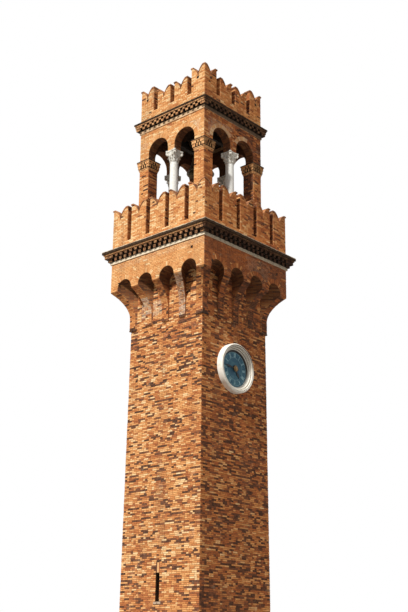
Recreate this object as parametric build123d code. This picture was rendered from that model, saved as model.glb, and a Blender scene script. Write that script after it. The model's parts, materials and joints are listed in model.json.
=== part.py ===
from build123d import *
import os

os.makedirs("parts", exist_ok=True)

# A brick clock tower with two crowns of swallow-tailed merlons.
# Millimetres, +Z up. The origin is the middle of the base, at ground level.
# The clock looks along -Y (the front). Seen from the front, left is -X.

# Shaft
shaft_height = 15250.0
shaft_base_half = 2192.0
shaft_top_half = 2100.0
shaft_wall = 700.0
floor_thickness = 120.0

# Slit windows in the left and right walls
slit_width = 200.0
slit_height = 1105.0
slit_bottom_z = 3645.0
slit_offset = -63.0
slit_inner_width = 520.0
slit_sill_height = 90.0
slit_sill_projection = 25.0

# Entrance in the back wall
door_width = 1100.0
door_spring_height = 1750.0
door_frame_width = 180.0
door_frame_depth = 320.0
door_frame_projection = 30.0
door_leaf_thickness = 60.0
door_leaf_set_back = 200.0
door_gap = 0.3

# Corbel table that carries the gallery
gallery_half = 2797.0
pier_proud = 62.0
pier_straight_height = 530.0
pier_ledge_projection = 12.0
pier_ledge_thickness = 60.0
cove_height = 1210.0
cove_plumb_height = 600.0
gallery_wall_height = 1325.0
arches_per_side = 4
arch_radius = 430.0
arch_end_width = 429.0
arch_inner_radius = 300.0
corner_pier_width = 407.0
arch_spring_above_cove = 30.0

# Brick courses, and rows of projecting brick ends
course_height = 72.0
lower_cornice_courses = 5
lower_teeth_proud = (134.0, 245.0)
lower_course_proud = 285.0
upper_cornice_courses = 4
upper_teeth_proud = (165.0, 190.0)
upper_course_proud = 215.0
tooth_width = 140.0
tooth_gap = 165.0
tooth_root = 15.0

# Lower cornice and terrace
string_height = 125.0
string_proud = 58.0
terrace_slab_overhang = 337.0
terrace_slab_thickness = 125.0
slab_core_depth = 200.0

# Lower parapet
lower_parapet_thickness = 390.0
lower_sill_height = 345.0
lower_merlons = 5
lower_merlon_gap = 252.0
lower_notch_height = 1250.0
lower_horn_height = 1730.0
horn_flat = 120.0
notch_bulge_share = 0.195
coping_thickness = 65.0
coping_overhang = 35.0

# Belfry
belfry_half = 2008.0
belfry_wall = 420.0
belfry_plinth_height = 1155.0
pier_width = 574.0
pier_height = 2920.0
impost_courses = 7
impost_step = 22.0
impost_tooth_width = 70.0
impost_tooth_gap = 80.0
belfry_arch_offset = 820.0
belfry_arch_radius = 615.0
belfry_arch_stilt = 270.0
belfry_wall_above_crown = 565.0

# Columns
column_radius_bottom = 205.0
column_radius_top = 188.0
column_base_height = 320.0
column_base_width = 540.0
base_plinth_height = 128.0
base_set_in = 10.0
base_proud = 30.0
base_splay = 30.0
capital_height = 575.0
capital_neck_height = 45.0
capital_neck_proud = 14.0
capital_basket_set_in = 58.0
basket_middle_width = 430.0
abacus_width = 610.0
abacus_height = 70.0
abacus_horn = 48.0
abacus_hollow = 50.0
volute_radius = 82.0
volute_width = 105.0
volute_stem_hollow = 45.0

# Upper cornice and roof
upper_string_height = 170.0
upper_string_proud = 42.0
roof_slab_overhang = 244.0
roof_slab_thickness = 70.0

# Upper parapet
upper_parapet_set_out = 8.0
upper_parapet_thickness = 300.0
upper_sill_height = 520.0
upper_merlons = 4
upper_merlon_gap = 267.0
upper_notch_height = 525.0
upper_horn_height = 990.0
upper_corner_notch_height = 800.0
upper_corner_horn_height = 1280.0

# Clock
clock_offset = -100.0
clock_below_corbels = 2070.0
ring_radius = 1070.0
ring_projection = 290.0
ring_seat_depth = 25.0
ring_roll = 70.0
ring_fillet_width = 12.0
ring_fillet_depth = 36.0
ring_hollow_depth = 22.0
ring_lip_radius = 865.0
ring_lip_projection = 165.0
ring_ledge = 40.0
dial_radius = 782.0
dial_thickness = 40.0
dial_projection = 70.0
arbor_radius = 22.0
arbor_clearance = 0.3
hand_thickness = 12.0
hand_hub_radius = 58.0
hand_hub_length = 24.0
hand_spacing = 9.0
minute_hand_length = 690.0
minute_hand_tail = 190.0
hour_hand_length = 490.0
hour_hand_tail = 150.0
minute_hand_angle = 276.0
hour_hand_angle = 143.0
sun_radius = 95.0
sun_ray_length = 60.0
sun_rays = 12
sun_thickness = 30.0

# Bell and its carriage
bell_rim_radius = 650.0
bell_height = 1000.0
bell_below_pivot = 840.0
crown_thickness = 80.0
canon_height = 250.0
headstock_width = 240.0
headstock_depth = 760.0
headstock_end_depth = 220.0
headstock_length = 1280.0
headstock_belly = 540.0
beam_offset = 810.0
beam_width = 220.0
beam_depth = 280.0
beam_below_wall_top = 434.0
beam_bearing_in_wall = 150.0
bearing_height = 160.0
bearing_length = 120.0
gudgeon_radius = 35.0
gudgeon_clearance = 0.4
gudgeon_proud = 20.0
clapper_ball_radius = 72.0
clapper_rod_radius = 22.0
clapper_pivot_below_top = 125.0
clapper_ball_above_rim = 120.0
clapper_pin_radius = 14.0
clapper_lug_length = 90.0
clapper_lug_thickness = 30.0
clapper_fork_width = 50.0
clapper_fork_gap = 10.0
clapper_cheek_thickness = 15.0

# How far a cutting shape runs past what it cuts
overrun = 50.0

# Levels and faces worked out from the sizes above
shaft_inner_half = shaft_top_half - shaft_wall
arch_pitch = 2 * (gallery_half - arch_end_width - arch_radius) / (arches_per_side - 1)
arch_inner_pitch = 2 * (shaft_top_half + pier_proud - corner_pier_width - arch_inner_radius) / (
    arches_per_side - 1)
pier_bend_z = shaft_height + pier_straight_height
cove_top_z = pier_bend_z + cove_height
arch_spring_z = cove_top_z + arch_spring_above_cove
gallery_top_z = cove_top_z + gallery_wall_height
lower_brick_z = gallery_top_z + string_height
terrace_slab_z = lower_brick_z + lower_cornice_courses * course_height
terrace_z = terrace_slab_z + terrace_slab_thickness
belfry_plinth_top_z = terrace_z + belfry_plinth_height
impost_z = belfry_plinth_top_z + pier_height
belfry_arcade_z = impost_z + impost_courses * course_height
belfry_spring_z = belfry_arcade_z + belfry_arch_stilt
belfry_crown_z = belfry_spring_z + belfry_arch_radius
belfry_top_z = belfry_crown_z + belfry_wall_above_crown
upper_brick_z = belfry_top_z + upper_string_height
roof_slab_z = upper_brick_z + upper_cornice_courses * course_height
roof_z = roof_slab_z + roof_slab_thickness
belfry_inner_half = belfry_half - belfry_wall
upper_parapet_half = belfry_half + upper_parapet_set_out
terrace_slab_half = gallery_half + terrace_slab_overhang
roof_slab_half = belfry_half + roof_slab_overhang
column_line = belfry_half - belfry_wall / 2
clock_z = shaft_height - clock_below_corbels
beam_bottom_z = belfry_top_z - beam_below_wall_top
pivot_z = beam_bottom_z + beam_depth + bearing_height / 2
bell_top_z = pivot_z - bell_below_pivot
bell_rim_z = bell_top_z - bell_height
reach = 2 * terrace_slab_half

sides = {"front": 0, "right": 90, "back": 180, "left": -90}


def shaft_face(height):
    """Distance of the battered shaft face from the axis at a height."""
    share = min(height / shaft_height, 1.0)
    return shaft_base_half + (shaft_top_half - shaft_base_half) * share


def save(name, shape):
    """Write one piece, or one set of like pieces, to its own file."""
    shape.label = name
    export_step(shape, f"parts/{name}.step")


def slab(half, bottom, top):
    """Square slab about the tower axis."""
    return Pos(0, 0, (bottom + top) / 2) * Box(2 * half, 2 * half, top - bottom)


def ring(half, inner_half, bottom, top):
    """Square ring about the tower axis."""
    return slab(half, bottom, top) - slab(inner_half, bottom - 1, top + 1)


def front_quarter(bottom, top):
    """The quarter of the plan in front of the two diagonals."""
    triangle = make_face(Polyline((0, 0), (-reach, -reach), (reach, -reach), close=True))
    return Pos(0, 0, bottom) * extrude(triangle, top - bottom)


def mitred(shape, bottom, top):
    """Cut a front piece to the diagonals, where it meets its neighbours."""
    return shape & front_quarter(bottom, top)


def turned(shape, side):
    """Turn a piece made for the front to another side."""
    return Rot(0, 0, sides[side]) * shape


def facade(sketch, face, thickness):
    """Stand a sketch up as a wall whose outer face is at a distance from the axis."""
    return extrude(Plane.XZ.offset(face - thickness) * sketch, thickness)


def arched_face(radius, spring, bottom, plane_offset, middle=0.0):
    """Upright face with a round head, on a plane that looks to the front."""
    outline = Polyline(
        (middle - radius, spring), (middle - radius, bottom),
        (middle + radius, bottom), (middle + radius, spring),
    )
    head = ThreePointArc((middle + radius, spring), (middle, spring + radius), (middle - radius, spring))
    return Plane.XZ.offset(plane_offset) * make_face(outline.edges() + head.edges())


def arched_block(radius, spring, bottom, face, thickness, middle=0.0):
    """Round-headed block, used for openings and for what fills them."""
    return extrude(arched_face(radius, spring, bottom, face - thickness, middle), thickness)


# Shaft walls, battered outside and plumb inside
def shaft_wall_blank():
    profile = make_face(Polyline(
        (-shaft_inner_half, 0), (-shaft_base_half, 0), (-shaft_top_half, shaft_height),
        (-shaft_top_half, terrace_slab_z), (-shaft_inner_half, terrace_slab_z), close=True,
    ))
    wall = extrude(Plane.YZ * profile, reach / 2, both=True)
    return mitred(wall, 0, terrace_slab_z)


def slit_opening():
    """Slit that widens towards the inside of the tower."""
    outer = shaft_face(slit_bottom_z) + overrun
    z_middle = slit_bottom_z + slit_height / 2
    outside = Plane.XZ.offset(outer) * (Pos(slit_offset, z_middle) * Rectangle(slit_width, slit_height))
    inside = Plane.XZ.offset(shaft_inner_half) * (
        Pos(slit_offset, z_middle) * Rectangle(slit_inner_width, slit_height))
    return loft([inside.face(), outside.face()], ruled=True)


def slit_sill():
    """Stone sill set in the wall under a slit."""
    depth = shaft_wall / 3
    face = shaft_face(slit_bottom_z) + slit_sill_projection
    block = Pos(slit_offset, -face + depth / 2, slit_bottom_z - slit_sill_height / 2)
    return block * Box(2 * slit_width, depth, slit_sill_height)


clock_face = shaft_face(clock_z)
clock_place = Pos(clock_offset, 0, clock_z)
dial_front = clock_face + dial_projection


def cylinder_out(radius, start, end):
    """Cylinder along the clock's axis, from one distance from the tower axis to another."""
    disc = Plane.XZ.offset(start) * Circle(radius)
    return clock_place * extrude(disc, end - start)


front_wall = shaft_wall_blank()
front_wall -= cylinder_out(ring_radius, clock_face - ring_seat_depth, clock_face + overrun)
front_wall -= cylinder_out(arbor_radius + arbor_clearance, 0, clock_face + overrun)
save("shaft_wall_front", front_wall)

for side in ("left", "right"):
    wall = shaft_wall_blank() - slit_opening() - slit_sill()
    save(f"shaft_wall_{side}", turned(wall, side))

save("slit_sills", Compound([turned(slit_sill(), "left").solid(), turned(slit_sill(), "right").solid()]))

# Entrance: the wall is cut to the stone frame outside and to the doorway behind it
door_radius = door_width / 2
door_face = shaft_face(door_spring_height)
door_spring_z = floor_thickness + door_spring_height
frame_radius = door_radius + door_frame_width
frame_back = door_face - door_frame_depth

frame_recess = arched_block(frame_radius, door_spring_z, 0, door_face + overrun, door_frame_depth + overrun)
doorway = arched_block(door_radius, door_spring_z, 0, frame_back, frame_back - shaft_inner_half + 1)
back_wall = shaft_wall_blank() - frame_recess - doorway
save("shaft_wall_back", turned(back_wall, "back"))

frame_front = door_face + door_frame_projection
door_frame = arched_block(frame_radius, door_spring_z, 0, frame_front, frame_front - frame_back)
door_frame -= arched_block(
    door_radius, door_spring_z, floor_thickness, frame_front + 1, frame_front - frame_back + 2)
save("door_surround", turned(door_frame, "back"))

leaf_face = door_face - door_leaf_set_back
door_leaf = arched_block(
    door_radius - door_gap, door_spring_z, floor_thickness, leaf_face, door_leaf_thickness)
save("entrance_door", turned(door_leaf, "back"))

ground_floor = slab(shaft_inner_half, 0, floor_thickness)
threshold_depth = frame_back - shaft_inner_half
threshold = Pos(0, shaft_inner_half + threshold_depth / 2, floor_thickness / 2) * Box(
    door_width, threshold_depth, floor_thickness)
save("ground_floor", ground_floor + threshold)


# Corbel table: coved piers that fan out from the shaft, round arches, and the wall they carry
def corbel_channel(index):
    """Space between two piers, wider and taller at the face than at the shaft."""
    place = index - (arches_per_side - 1) / 2
    outer_face = arched_face(
        arch_radius, arch_spring_z, shaft_height - overrun, gallery_half, place * arch_pitch)
    inner_face = arched_face(
        arch_inner_radius, arch_spring_z, shaft_height - overrun, shaft_top_half, place * arch_inner_pitch)
    channel = loft([inner_face.face(), outer_face.face()], ruled=True)
    mouth = extrude(outer_face, overrun)
    return channel + mouth


def corbel_side():
    pier_face = shaft_top_half + pier_proud
    outline = Polyline(
        (-gallery_half, cove_top_z), (-gallery_half, gallery_top_z), (-shaft_top_half, gallery_top_z),
        (-shaft_top_half, shaft_height), (-pier_face, shaft_height), (-pier_face, pier_bend_z),
    )
    cove = Bezier(
        (-pier_face, pier_bend_z), (-pier_face, pier_bend_z + cove_plumb_height), (-gallery_half, cove_top_z))
    profile = make_face(outline.edges() + cove.edges())
    block = mitred(extrude(Plane.YZ * profile, reach / 2, both=True), shaft_height, gallery_top_z)
    for index in range(arches_per_side):
        block -= corbel_channel(index)
    return block


def pier_ledge():
    """Brick ledge that the corner pier of the corbel table stands on."""
    width = corner_pier_width + pier_ledge_projection
    outer = shaft_top_half + pier_proud + pier_ledge_projection
    bottom = shaft_height - pier_ledge_thickness
    middle = width / 2 - outer
    block = Box(width, width, pier_ledge_thickness)
    block = Pos(middle, middle, shaft_height - pier_ledge_thickness / 2) * block
    return block - slab(shaft_face(bottom), bottom - 1, shaft_height + 1)


corbels = corbel_side()
for side in sides:
    save(f"corbel_gallery_{side}", turned(corbels, side))
save("pier_foot_ledges", Compound([turned(pier_ledge(), side).solid() for side in sides]))


# Cornices: a stone string, two rows of brick teeth, a plain course and a stone slab
def toothed_row(face, proud, bottom, height, width, gap, shift):
    """Row of brick teeth round a square core. A shift of one leaves out a tooth, so that rows stagger."""
    root = face + tooth_root
    tip = face + proud
    pitch = width + gap
    count = int(2 * face / pitch) - 1 - shift
    corner_block = (count / 2 + 0.5) * pitch - width / 2
    quarter = [(-tip, -tip), (-corner_block, -tip), (-corner_block, -root)]
    for tooth in range(count):
        start = (tooth - (count - 1) / 2) * pitch - width / 2
        end = start + width
        quarter += [(start, -root), (start, -tip), (end, -tip), (end, -root)]
    quarter += [(corner_block, -root), (corner_block, -tip)]
    plan = []
    for x_turn, y_turn in ((1, 0), (0, 1), (-1, 0), (0, -1)):
        plan += [(x * x_turn - y * y_turn, x * y_turn + y * x_turn) for x, y in quarter]
    return Pos(0, 0, bottom) * extrude(make_face(Polyline(*plan, close=True)), height)


def cornice_teeth(face, prouds, bottom, top):
    """Two rows of teeth, the upper one staggered and further out, without the wall behind them."""
    height = (top - bottom) / 2
    teeth = toothed_row(face, prouds[0], bottom, height, tooth_width, tooth_gap, 0)
    teeth += toothed_row(face, prouds[1], bottom + height, height, tooth_width, tooth_gap, 1)
    return teeth - slab(face, bottom - 1, top + 1)


def cornice_wall(face, inner_half, proud, bottom, teeth_top, top):
    """The wall behind the teeth and the plain course above them."""
    return ring(face, inner_half, bottom, teeth_top) + ring(face + proud, inner_half, teeth_top, top)


def slab_with_core(half, core_half, bottom, top):
    """Thin slab outside, thicker over the room that it closes."""
    return slab(half, bottom, top) + slab(core_half, bottom - slab_core_depth, bottom)


save("lower_string", ring(gallery_half + string_proud, shaft_top_half, gallery_top_z, lower_brick_z))
lower_teeth_top_z = terrace_slab_z - course_height
save("lower_teeth", cornice_teeth(gallery_half, lower_teeth_proud, lower_brick_z, lower_teeth_top_z))
save("lower_dentils", cornice_wall(
    gallery_half, shaft_top_half, lower_course_proud, lower_brick_z, lower_teeth_top_z, terrace_slab_z))
save("terrace_slab", slab_with_core(terrace_slab_half, shaft_inner_half, terrace_slab_z, terrace_z))


# Parapets with swallow-tailed merlons
class Parapet:
    """Sizes of one crown of merlons. The coping tiles end at the horn heights."""

    def __init__(self, face, thickness, base, sill, merlons, gap, middle, corner):
        self.face = face
        self.thickness = thickness
        self.base = base
        self.sill = sill
        self.merlons = merlons
        self.gap = gap
        self.middle = middle
        self.corner = corner
        self.width = (2 * face - (merlons - 1) * gap) / merlons

    def merlon_x(self, number):
        return -self.face + self.width / 2 + number * (self.width + self.gap)

    def merlon_heights(self, number):
        """Levels of the notch and the horns of a merlon's brickwork, below its coping."""
        heights = self.corner if number in (0, self.merlons - 1) else self.middle
        return [self.sill + height - coping_thickness for height in heights]


def notch_curves(width, notch, horn):
    """The two edges of the notch, from horn to horn, each bulging into it."""
    start_x = width / 2 - horn_flat
    drop = horn - notch
    length = (start_x ** 2 + drop ** 2) ** 0.5
    bulge = notch_bulge_share * start_x
    middle_x = start_x / 2 - bulge * drop / length
    middle_z = (horn + notch) / 2 + bulge * start_x / length
    return [
        ThreePointArc((-start_x, horn), (-middle_x, middle_z), (0, notch)),
        ThreePointArc((0, notch), (middle_x, middle_z), (start_x, horn)),
    ]


def swallow_tail(width, sill, notch, horn):
    """Merlon outline: two flat horns with a notch between them."""
    half = width / 2
    sides_and_foot = Polyline(
        (-half + horn_flat, horn), (-half, horn), (-half, sill), (half, sill), (half, horn),
        (half - horn_flat, horn))
    left, right = notch_curves(width, notch, horn)
    return make_face(sides_and_foot.edges() + left.edges() + right.edges())


def coping_strip(width, notch, horn):
    """Tile coping that follows the top of a merlon and stands out at its sides."""
    end = width / 2 + coping_overhang
    top = horn + coping_thickness
    start_x = width / 2 - horn_flat
    under = notch_curves(width, notch, horn)
    over = notch_curves(width, notch + coping_thickness, top)
    left_end = Polyline((-start_x, horn), (-end, horn), (-end, top), (-start_x, top))
    right_end = Polyline((start_x, horn), (end, horn), (end, top), (start_x, top))
    edges = left_end.edges() + right_end.edges()
    for curve in under + over:
        edges += curve.edges()
    return make_face(edges)


def parapet_side(crown):
    outline = Pos(0, (crown.base + crown.sill) / 2) * Rectangle(2 * crown.face, crown.sill - crown.base)
    for number in range(crown.merlons):
        merlon = swallow_tail(crown.width, crown.sill, *crown.merlon_heights(number))
        outline += Pos(crown.merlon_x(number), 0) * merlon
    wall = facade(outline, crown.face, crown.thickness)
    return mitred(wall, crown.base, crown.sill + crown.corner[1])


def merlon_coping(crown, number):
    strip = coping_strip(crown.width, *crown.merlon_heights(number))
    depth = crown.thickness + 2 * coping_overhang
    return facade(Pos(crown.merlon_x(number), 0) * strip, crown.face + coping_overhang, depth)


def copings(crown):
    """The coping of every merlon. At a corner those of both sides meet and are one piece."""
    last = crown.merlons - 1
    top = crown.sill + crown.corner[1] + 1
    left_half = mitred(merlon_coping(crown, 0), crown.sill, top)
    right_half = turned(mitred(merlon_coping(crown, last), crown.sill, top), "left")
    pieces = [left_half + right_half]
    pieces += [merlon_coping(crown, number) for number in range(1, last)]
    return [turned(piece, side).solid() for side in sides for piece in pieces]


lower_sill_z = terrace_z + lower_sill_height
lower_crown = Parapet(
    gallery_half, lower_parapet_thickness, terrace_z, lower_sill_z, lower_merlons, lower_merlon_gap,
    middle=(lower_notch_height, lower_horn_height), corner=(lower_notch_height, lower_horn_height),
)
upper_sill_z = roof_z + upper_sill_height
upper_crown = Parapet(
    upper_parapet_half, upper_parapet_thickness, roof_z, upper_sill_z, upper_merlons, upper_merlon_gap,
    middle=(upper_notch_height, upper_horn_height),
    corner=(upper_corner_notch_height, upper_corner_horn_height),
)
lower_parapet = parapet_side(lower_crown)
upper_parapet = parapet_side(upper_crown)
for side in sides:
    save(f"lower_parapet_{side}", turned(lower_parapet, side))
    save(f"upper_parapet_{side}", turned(upper_parapet, side))
save("merlon_copings", Compound(copings(lower_crown) + copings(upper_crown)))

# Belfry: plinth wall, corner piers with brick imposts, and two arches a side
save("belfry_plinth", ring(belfry_half, belfry_inner_half, terrace_z, belfry_plinth_top_z))

pier_centre = belfry_half - pier_width / 2
corners = [(x, y) for x in (-pier_centre, pier_centre) for y in (-pier_centre, pier_centre)]


def four_corners(shape):
    return Compound([(Pos(x, y, 0) * shape).solid() for x, y in corners])


pier = Pos(0, 0, (belfry_plinth_top_z + impost_z) / 2) * Box(pier_width, pier_width, pier_height)


def impost():
    """Brick head of a pier: two plain courses, two rows of teeth and a plain course."""
    half = pier_width / 2
    head = Pos(0, 0, impost_z + impost_courses * course_height / 2) * Box(
        pier_width, pier_width, impost_courses * course_height)
    for step in (1, 2):
        z = impost_z + (step - 1) * course_height
        head += slab(half + step * impost_step, z, z + course_height)
    for step, shift in ((3, 0), (4, 1)):
        z = impost_z + 2 * (step - 2) * course_height
        head += toothed_row(
            half, step * impost_step, z, 2 * course_height, impost_tooth_width, impost_tooth_gap, shift)
    return head + slab(half + 5 * impost_step, belfry_arcade_z - course_height, belfry_arcade_z)


save("belfry_piers", four_corners(pier))
save("pier_imposts", four_corners(impost()))


def arcade_side():
    height = belfry_top_z - belfry_arcade_z
    wall = Pos(0, -belfry_half + belfry_wall / 2, belfry_arcade_z + height / 2) * Box(
        2 * belfry_half, belfry_wall, height)
    wall = mitred(wall, belfry_arcade_z, belfry_top_z)
    for x in (-belfry_arch_offset, belfry_arch_offset):
        wall -= arched_block(
            belfry_arch_radius, belfry_spring_z, belfry_arcade_z - 1, belfry_half + 1, belfry_wall + 2, x)
    return wall


beam_half_length = belfry_inner_half + beam_bearing_in_wall
beam = Box(2 * beam_half_length, beam_width, beam_depth)
beam_z = beam_bottom_z + beam_depth / 2
beams = [(Pos(0, y, beam_z) * beam).solid() for y in (-beam_offset, beam_offset)]
arcade = arcade_side()
for side in sides:
    wall = turned(arcade, side)
    for pocket in beams:
        wall = wall - pocket
    save(f"arcade_wall_{side}", wall)
save("bell_beams", Compound(beams))

# Columns between the arches
column_spots = [(0, -column_line), (column_line, 0), (0, column_line), (-column_line, 0)]


def four_columns(shape):
    return Compound([(Pos(x, y, 0) * shape).solid() for x, y in column_spots])


column_shaft_z = belfry_plinth_top_z + column_base_height
capital_z = belfry_arcade_z - capital_height
disc_height = (column_base_height - base_plinth_height) / 2


def column_base():
    """Square plinth, a wide disc and a narrow disc, their edges splayed."""
    plinth = Pos(0, 0, belfry_plinth_top_z + base_plinth_height / 2) * Box(
        column_base_width, column_base_width, base_plinth_height)
    first_z = belfry_plinth_top_z + base_plinth_height
    lower_disc = Cylinder(column_base_width / 2 - base_set_in, disc_height)
    lower_disc = Pos(0, 0, first_z + disc_height / 2) * lower_disc
    upper_disc = Cylinder(column_radius_bottom + base_proud, disc_height)
    upper_disc = Pos(0, 0, first_z + disc_height * 1.5) * upper_disc
    lower_disc = chamfer(lower_disc.edges().filter_by(GeomType.CIRCLE).sort_by(Axis.Z)[-1], base_splay)
    upper_disc = chamfer(upper_disc.edges().filter_by(GeomType.CIRCLE).sort_by(Axis.Z)[-1], base_splay / 2)
    return plinth + lower_disc + upper_disc


def column_shaft():
    height = capital_z - column_shaft_z
    return Pos(0, 0, column_shaft_z + height / 2) * Cone(column_radius_bottom, column_radius_top, height)


def abacus_plan():
    """Square with hollow sides and cut horns."""
    half = abacus_width / 2
    horn = half - abacus_horn
    hollow = half - abacus_hollow
    plan = []
    for turn in range(4):
        curve = ThreePointArc((-horn, -half), (0, -hollow), (horn, -half))
        cut = Line((horn, -half), (half, -horn))
        plan += [Rot(0, 0, 90 * turn) * edge for edge in curve.edges() + cut.edges()]
    return make_face(plan)


def capital_volute(foot_z, abacus_z):
    """Stem and scroll under one horn of the abacus, in the diagonal plane of the capital."""
    scroll_x = (abacus_width - abacus_horn) / 2 ** 0.5 - volute_radius
    scroll_z = abacus_z - volute_radius
    foot = (column_radius_top, foot_z)
    tip = (scroll_x + volute_radius, scroll_z)
    hollow = ((foot[0] + tip[0]) / 2 - volute_stem_hollow, (foot_z + scroll_z) / 2 + volute_stem_hollow)
    stem = Polyline(foot, (0, foot_z), (0, abacus_z), (scroll_x, abacus_z), (scroll_x, scroll_z), tip)
    outline = make_face(stem.edges() + ThreePointArc(foot, hollow, tip).edges())
    outline += Pos(scroll_x, scroll_z) * Circle(volute_radius)
    return extrude(Plane.XZ * outline, volute_width / 2, both=True)


def capital():
    """Round neck, a basket that turns square, a volute at each corner and a hollow-sided abacus."""
    basket_z = capital_z + capital_neck_height
    abacus_z = belfry_arcade_z - abacus_height
    head_width = abacus_width - 2 * capital_basket_set_in
    middle_z = (basket_z + abacus_z) / 2
    neck = Pos(0, 0, capital_z + capital_neck_height / 2) * Cylinder(
        column_radius_top + capital_neck_proud, capital_neck_height)
    foot = Pos(0, 0, basket_z) * Circle(column_radius_top)
    middle = Pos(0, 0, middle_z) * RectangleRounded(basket_middle_width, basket_middle_width, volute_width)
    head = Pos(0, 0, abacus_z) * RectangleRounded(head_width, head_width, capital_basket_set_in)
    basket = loft([foot.face(), middle.face()], ruled=True) + loft([middle.face(), head.face()], ruled=True)
    for turn in range(4):
        basket += Rot(0, 0, 45 + 90 * turn) * capital_volute(basket_z, abacus_z)
    return neck + basket + Pos(0, 0, abacus_z) * extrude(abacus_plan(), abacus_height)


save("column_bases", four_columns(column_base()))
save("column_shafts", four_columns(column_shaft()))
save("column_capitals", four_columns(capital()))

save("upper_string", ring(belfry_half + upper_string_proud, belfry_inner_half, belfry_top_z, upper_brick_z))
upper_teeth_top_z = roof_slab_z - course_height
save("upper_teeth", cornice_teeth(belfry_half, upper_teeth_proud, upper_brick_z, upper_teeth_top_z))
save("upper_dentils", cornice_wall(
    belfry_half, belfry_inner_half, upper_course_proud, upper_brick_z, upper_teeth_top_z, roof_slab_z))
save("roof_slab", slab_with_core(roof_slab_half, belfry_inner_half, roof_slab_z, roof_z))


# Clock: moulded stone ring, dial, fixed arbor, two hands and a sun boss
def clock_ring():
    """Stone ring with an outer roll, a hollow and a splayed lip round the dial."""
    back = clock_face - ring_seat_depth
    front = clock_face + ring_projection
    lip = clock_face + ring_lip_projection
    ledge_radius = dial_radius - ring_ledge
    crest_radius = ring_radius - ring_roll
    hollow_start = (crest_radius - ring_fillet_width, -front + ring_fillet_depth)
    hollow_middle = ((hollow_start[0] + ring_lip_radius) / 2, -lip - ring_hollow_depth)
    step = Polyline((crest_radius, -front), hollow_start)
    hollow = ThreePointArc(hollow_start, hollow_middle, (ring_lip_radius, -lip))
    inside = Polyline(
        (ring_lip_radius, -lip), (dial_radius, -dial_front), (dial_radius, -dial_front + dial_thickness),
        (ledge_radius, -dial_front + dial_thickness), (ledge_radius, -back), (ring_radius, -back),
        (ring_radius, -front + ring_roll),
    )
    bulge = TangentArc((ring_radius, -front + ring_roll), (crest_radius, -front), tangent=(0, -1))
    profile = make_face(step.edges() + hollow.edges() + inside.edges() + bulge.edges())
    return clock_place * revolve(profile, Axis.Y)


save("clock_ring", clock_ring())

dial = cylinder_out(dial_radius - arbor_clearance, dial_front - dial_thickness, dial_front)
save("clock_dial", dial - cylinder_out(arbor_radius + arbor_clearance, 0, dial_front + 1))

hour_hub_start = dial_front + hand_spacing
hour_hub_end = hour_hub_start + hand_hub_length
minute_hub_start = hour_hub_end + hand_spacing
minute_hub_end = minute_hub_start + hand_hub_length
arbor_end = minute_hub_end - hand_spacing
save("clock_arbor", cylinder_out(arbor_radius, shaft_inner_half - 60, arbor_end))


def hand(length, tail, width, hub_start, angle):
    """Leaf-shaped hand with a counterweight tail, on a round hub that turns on the arbor."""
    widest = 0.62 * length
    neck = 0.22 * width
    leaf = make_face(Polyline(
        (-neck, -tail * 0.4), (-width * 0.62, -tail * 0.75), (-width * 0.3, -tail),
        (width * 0.3, -tail), (width * 0.62, -tail * 0.75), (neck, -tail * 0.4),
        (neck, widest * 0.62), (width / 2, widest), (0, length), (-width / 2, widest),
        (-neck, widest * 0.62), close=True,
    ))
    blade_start = hub_start + (hand_hub_length - hand_thickness) / 2
    blade = extrude(Plane.XZ.offset(blade_start) * leaf, hand_thickness)
    hub = extrude(Plane.XZ.offset(hub_start) * Circle(hand_hub_radius), hand_hub_length)
    bore_disc = Plane.XZ.offset(hub_start - 1) * Circle(arbor_radius + arbor_clearance)
    bore = extrude(bore_disc, hand_hub_length + 2)
    return clock_place * (Rot(0, angle, 0) * (blade + hub - bore))


save("hour_hand", hand(hour_hand_length, hour_hand_tail, 130, hour_hub_start, hour_hand_angle))
save("minute_hand", hand(minute_hand_length, minute_hand_tail, 105, minute_hub_start, minute_hand_angle))


def sun_boss():
    """Gilt sun in front of the hubs: a domed disc with pointed rays."""
    plate = Circle(sun_radius)
    for number in range(sun_rays):
        ray = make_face(Polyline(
            (-sun_radius * 0.26, sun_radius * 0.9), (0, sun_radius + sun_ray_length),
            (sun_radius * 0.26, sun_radius * 0.9), close=True))
        plate += Rot(0, 0, number * 360 / sun_rays) * ray
    rays = extrude(Plane.XZ.offset(minute_hub_end) * plate, sun_thickness / 2)
    dome_start = minute_hub_end + sun_thickness / 2
    dome = extrude(Plane.XZ.offset(dome_start) * Circle(sun_radius * 0.8), sun_thickness)
    dome = chamfer(dome.edges().filter_by(GeomType.CIRCLE).sort_by(Axis.Y)[0], sun_thickness * 0.6)
    return clock_place * (Rot(0, minute_hand_angle, 0) * (rays + dome))


save("sun_boss", sun_boss())

# Bell carriage: bearings on the two beams, a headstock that turns in them, bell and clapper
def along_y(radius, start, end, z):
    """Cylinder along Y between two places."""
    return Pos(0, 0, z) * extrude(Plane.XZ.offset(-end) * Circle(radius), end - start)


def bearing(y):
    block = Pos(0, y, pivot_z) * Box(2 * bearing_height, bearing_length, bearing_height)
    bore_radius = gudgeon_radius + gudgeon_clearance
    return block - along_y(bore_radius, y - bearing_length, y + bearing_length, pivot_z)


save("bell_bearings", Compound([bearing(-beam_offset).solid(), bearing(beam_offset).solid()]))

headstock_half = headstock_length / 2
headstock_bottom_z = bell_top_z + canon_height
headstock_top_z = headstock_bottom_z + headstock_depth


def headstock():
    """Oak yoke, deep in the middle and shallow at its ends."""
    belly = headstock_belly / 2
    end_bottom_z = pivot_z - headstock_end_depth / 2
    end_top_z = pivot_z + headstock_end_depth / 2
    outline = make_face(Polyline(
        (-headstock_half, end_bottom_z), (-belly, headstock_bottom_z),
        (belly, headstock_bottom_z), (headstock_half, end_bottom_z),
        (headstock_half, end_top_z), (belly, headstock_top_z),
        (-belly, headstock_top_z), (-headstock_half, end_top_z), close=True,
    ))
    return extrude(Plane.YZ * outline, headstock_width / 2, both=True)


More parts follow.
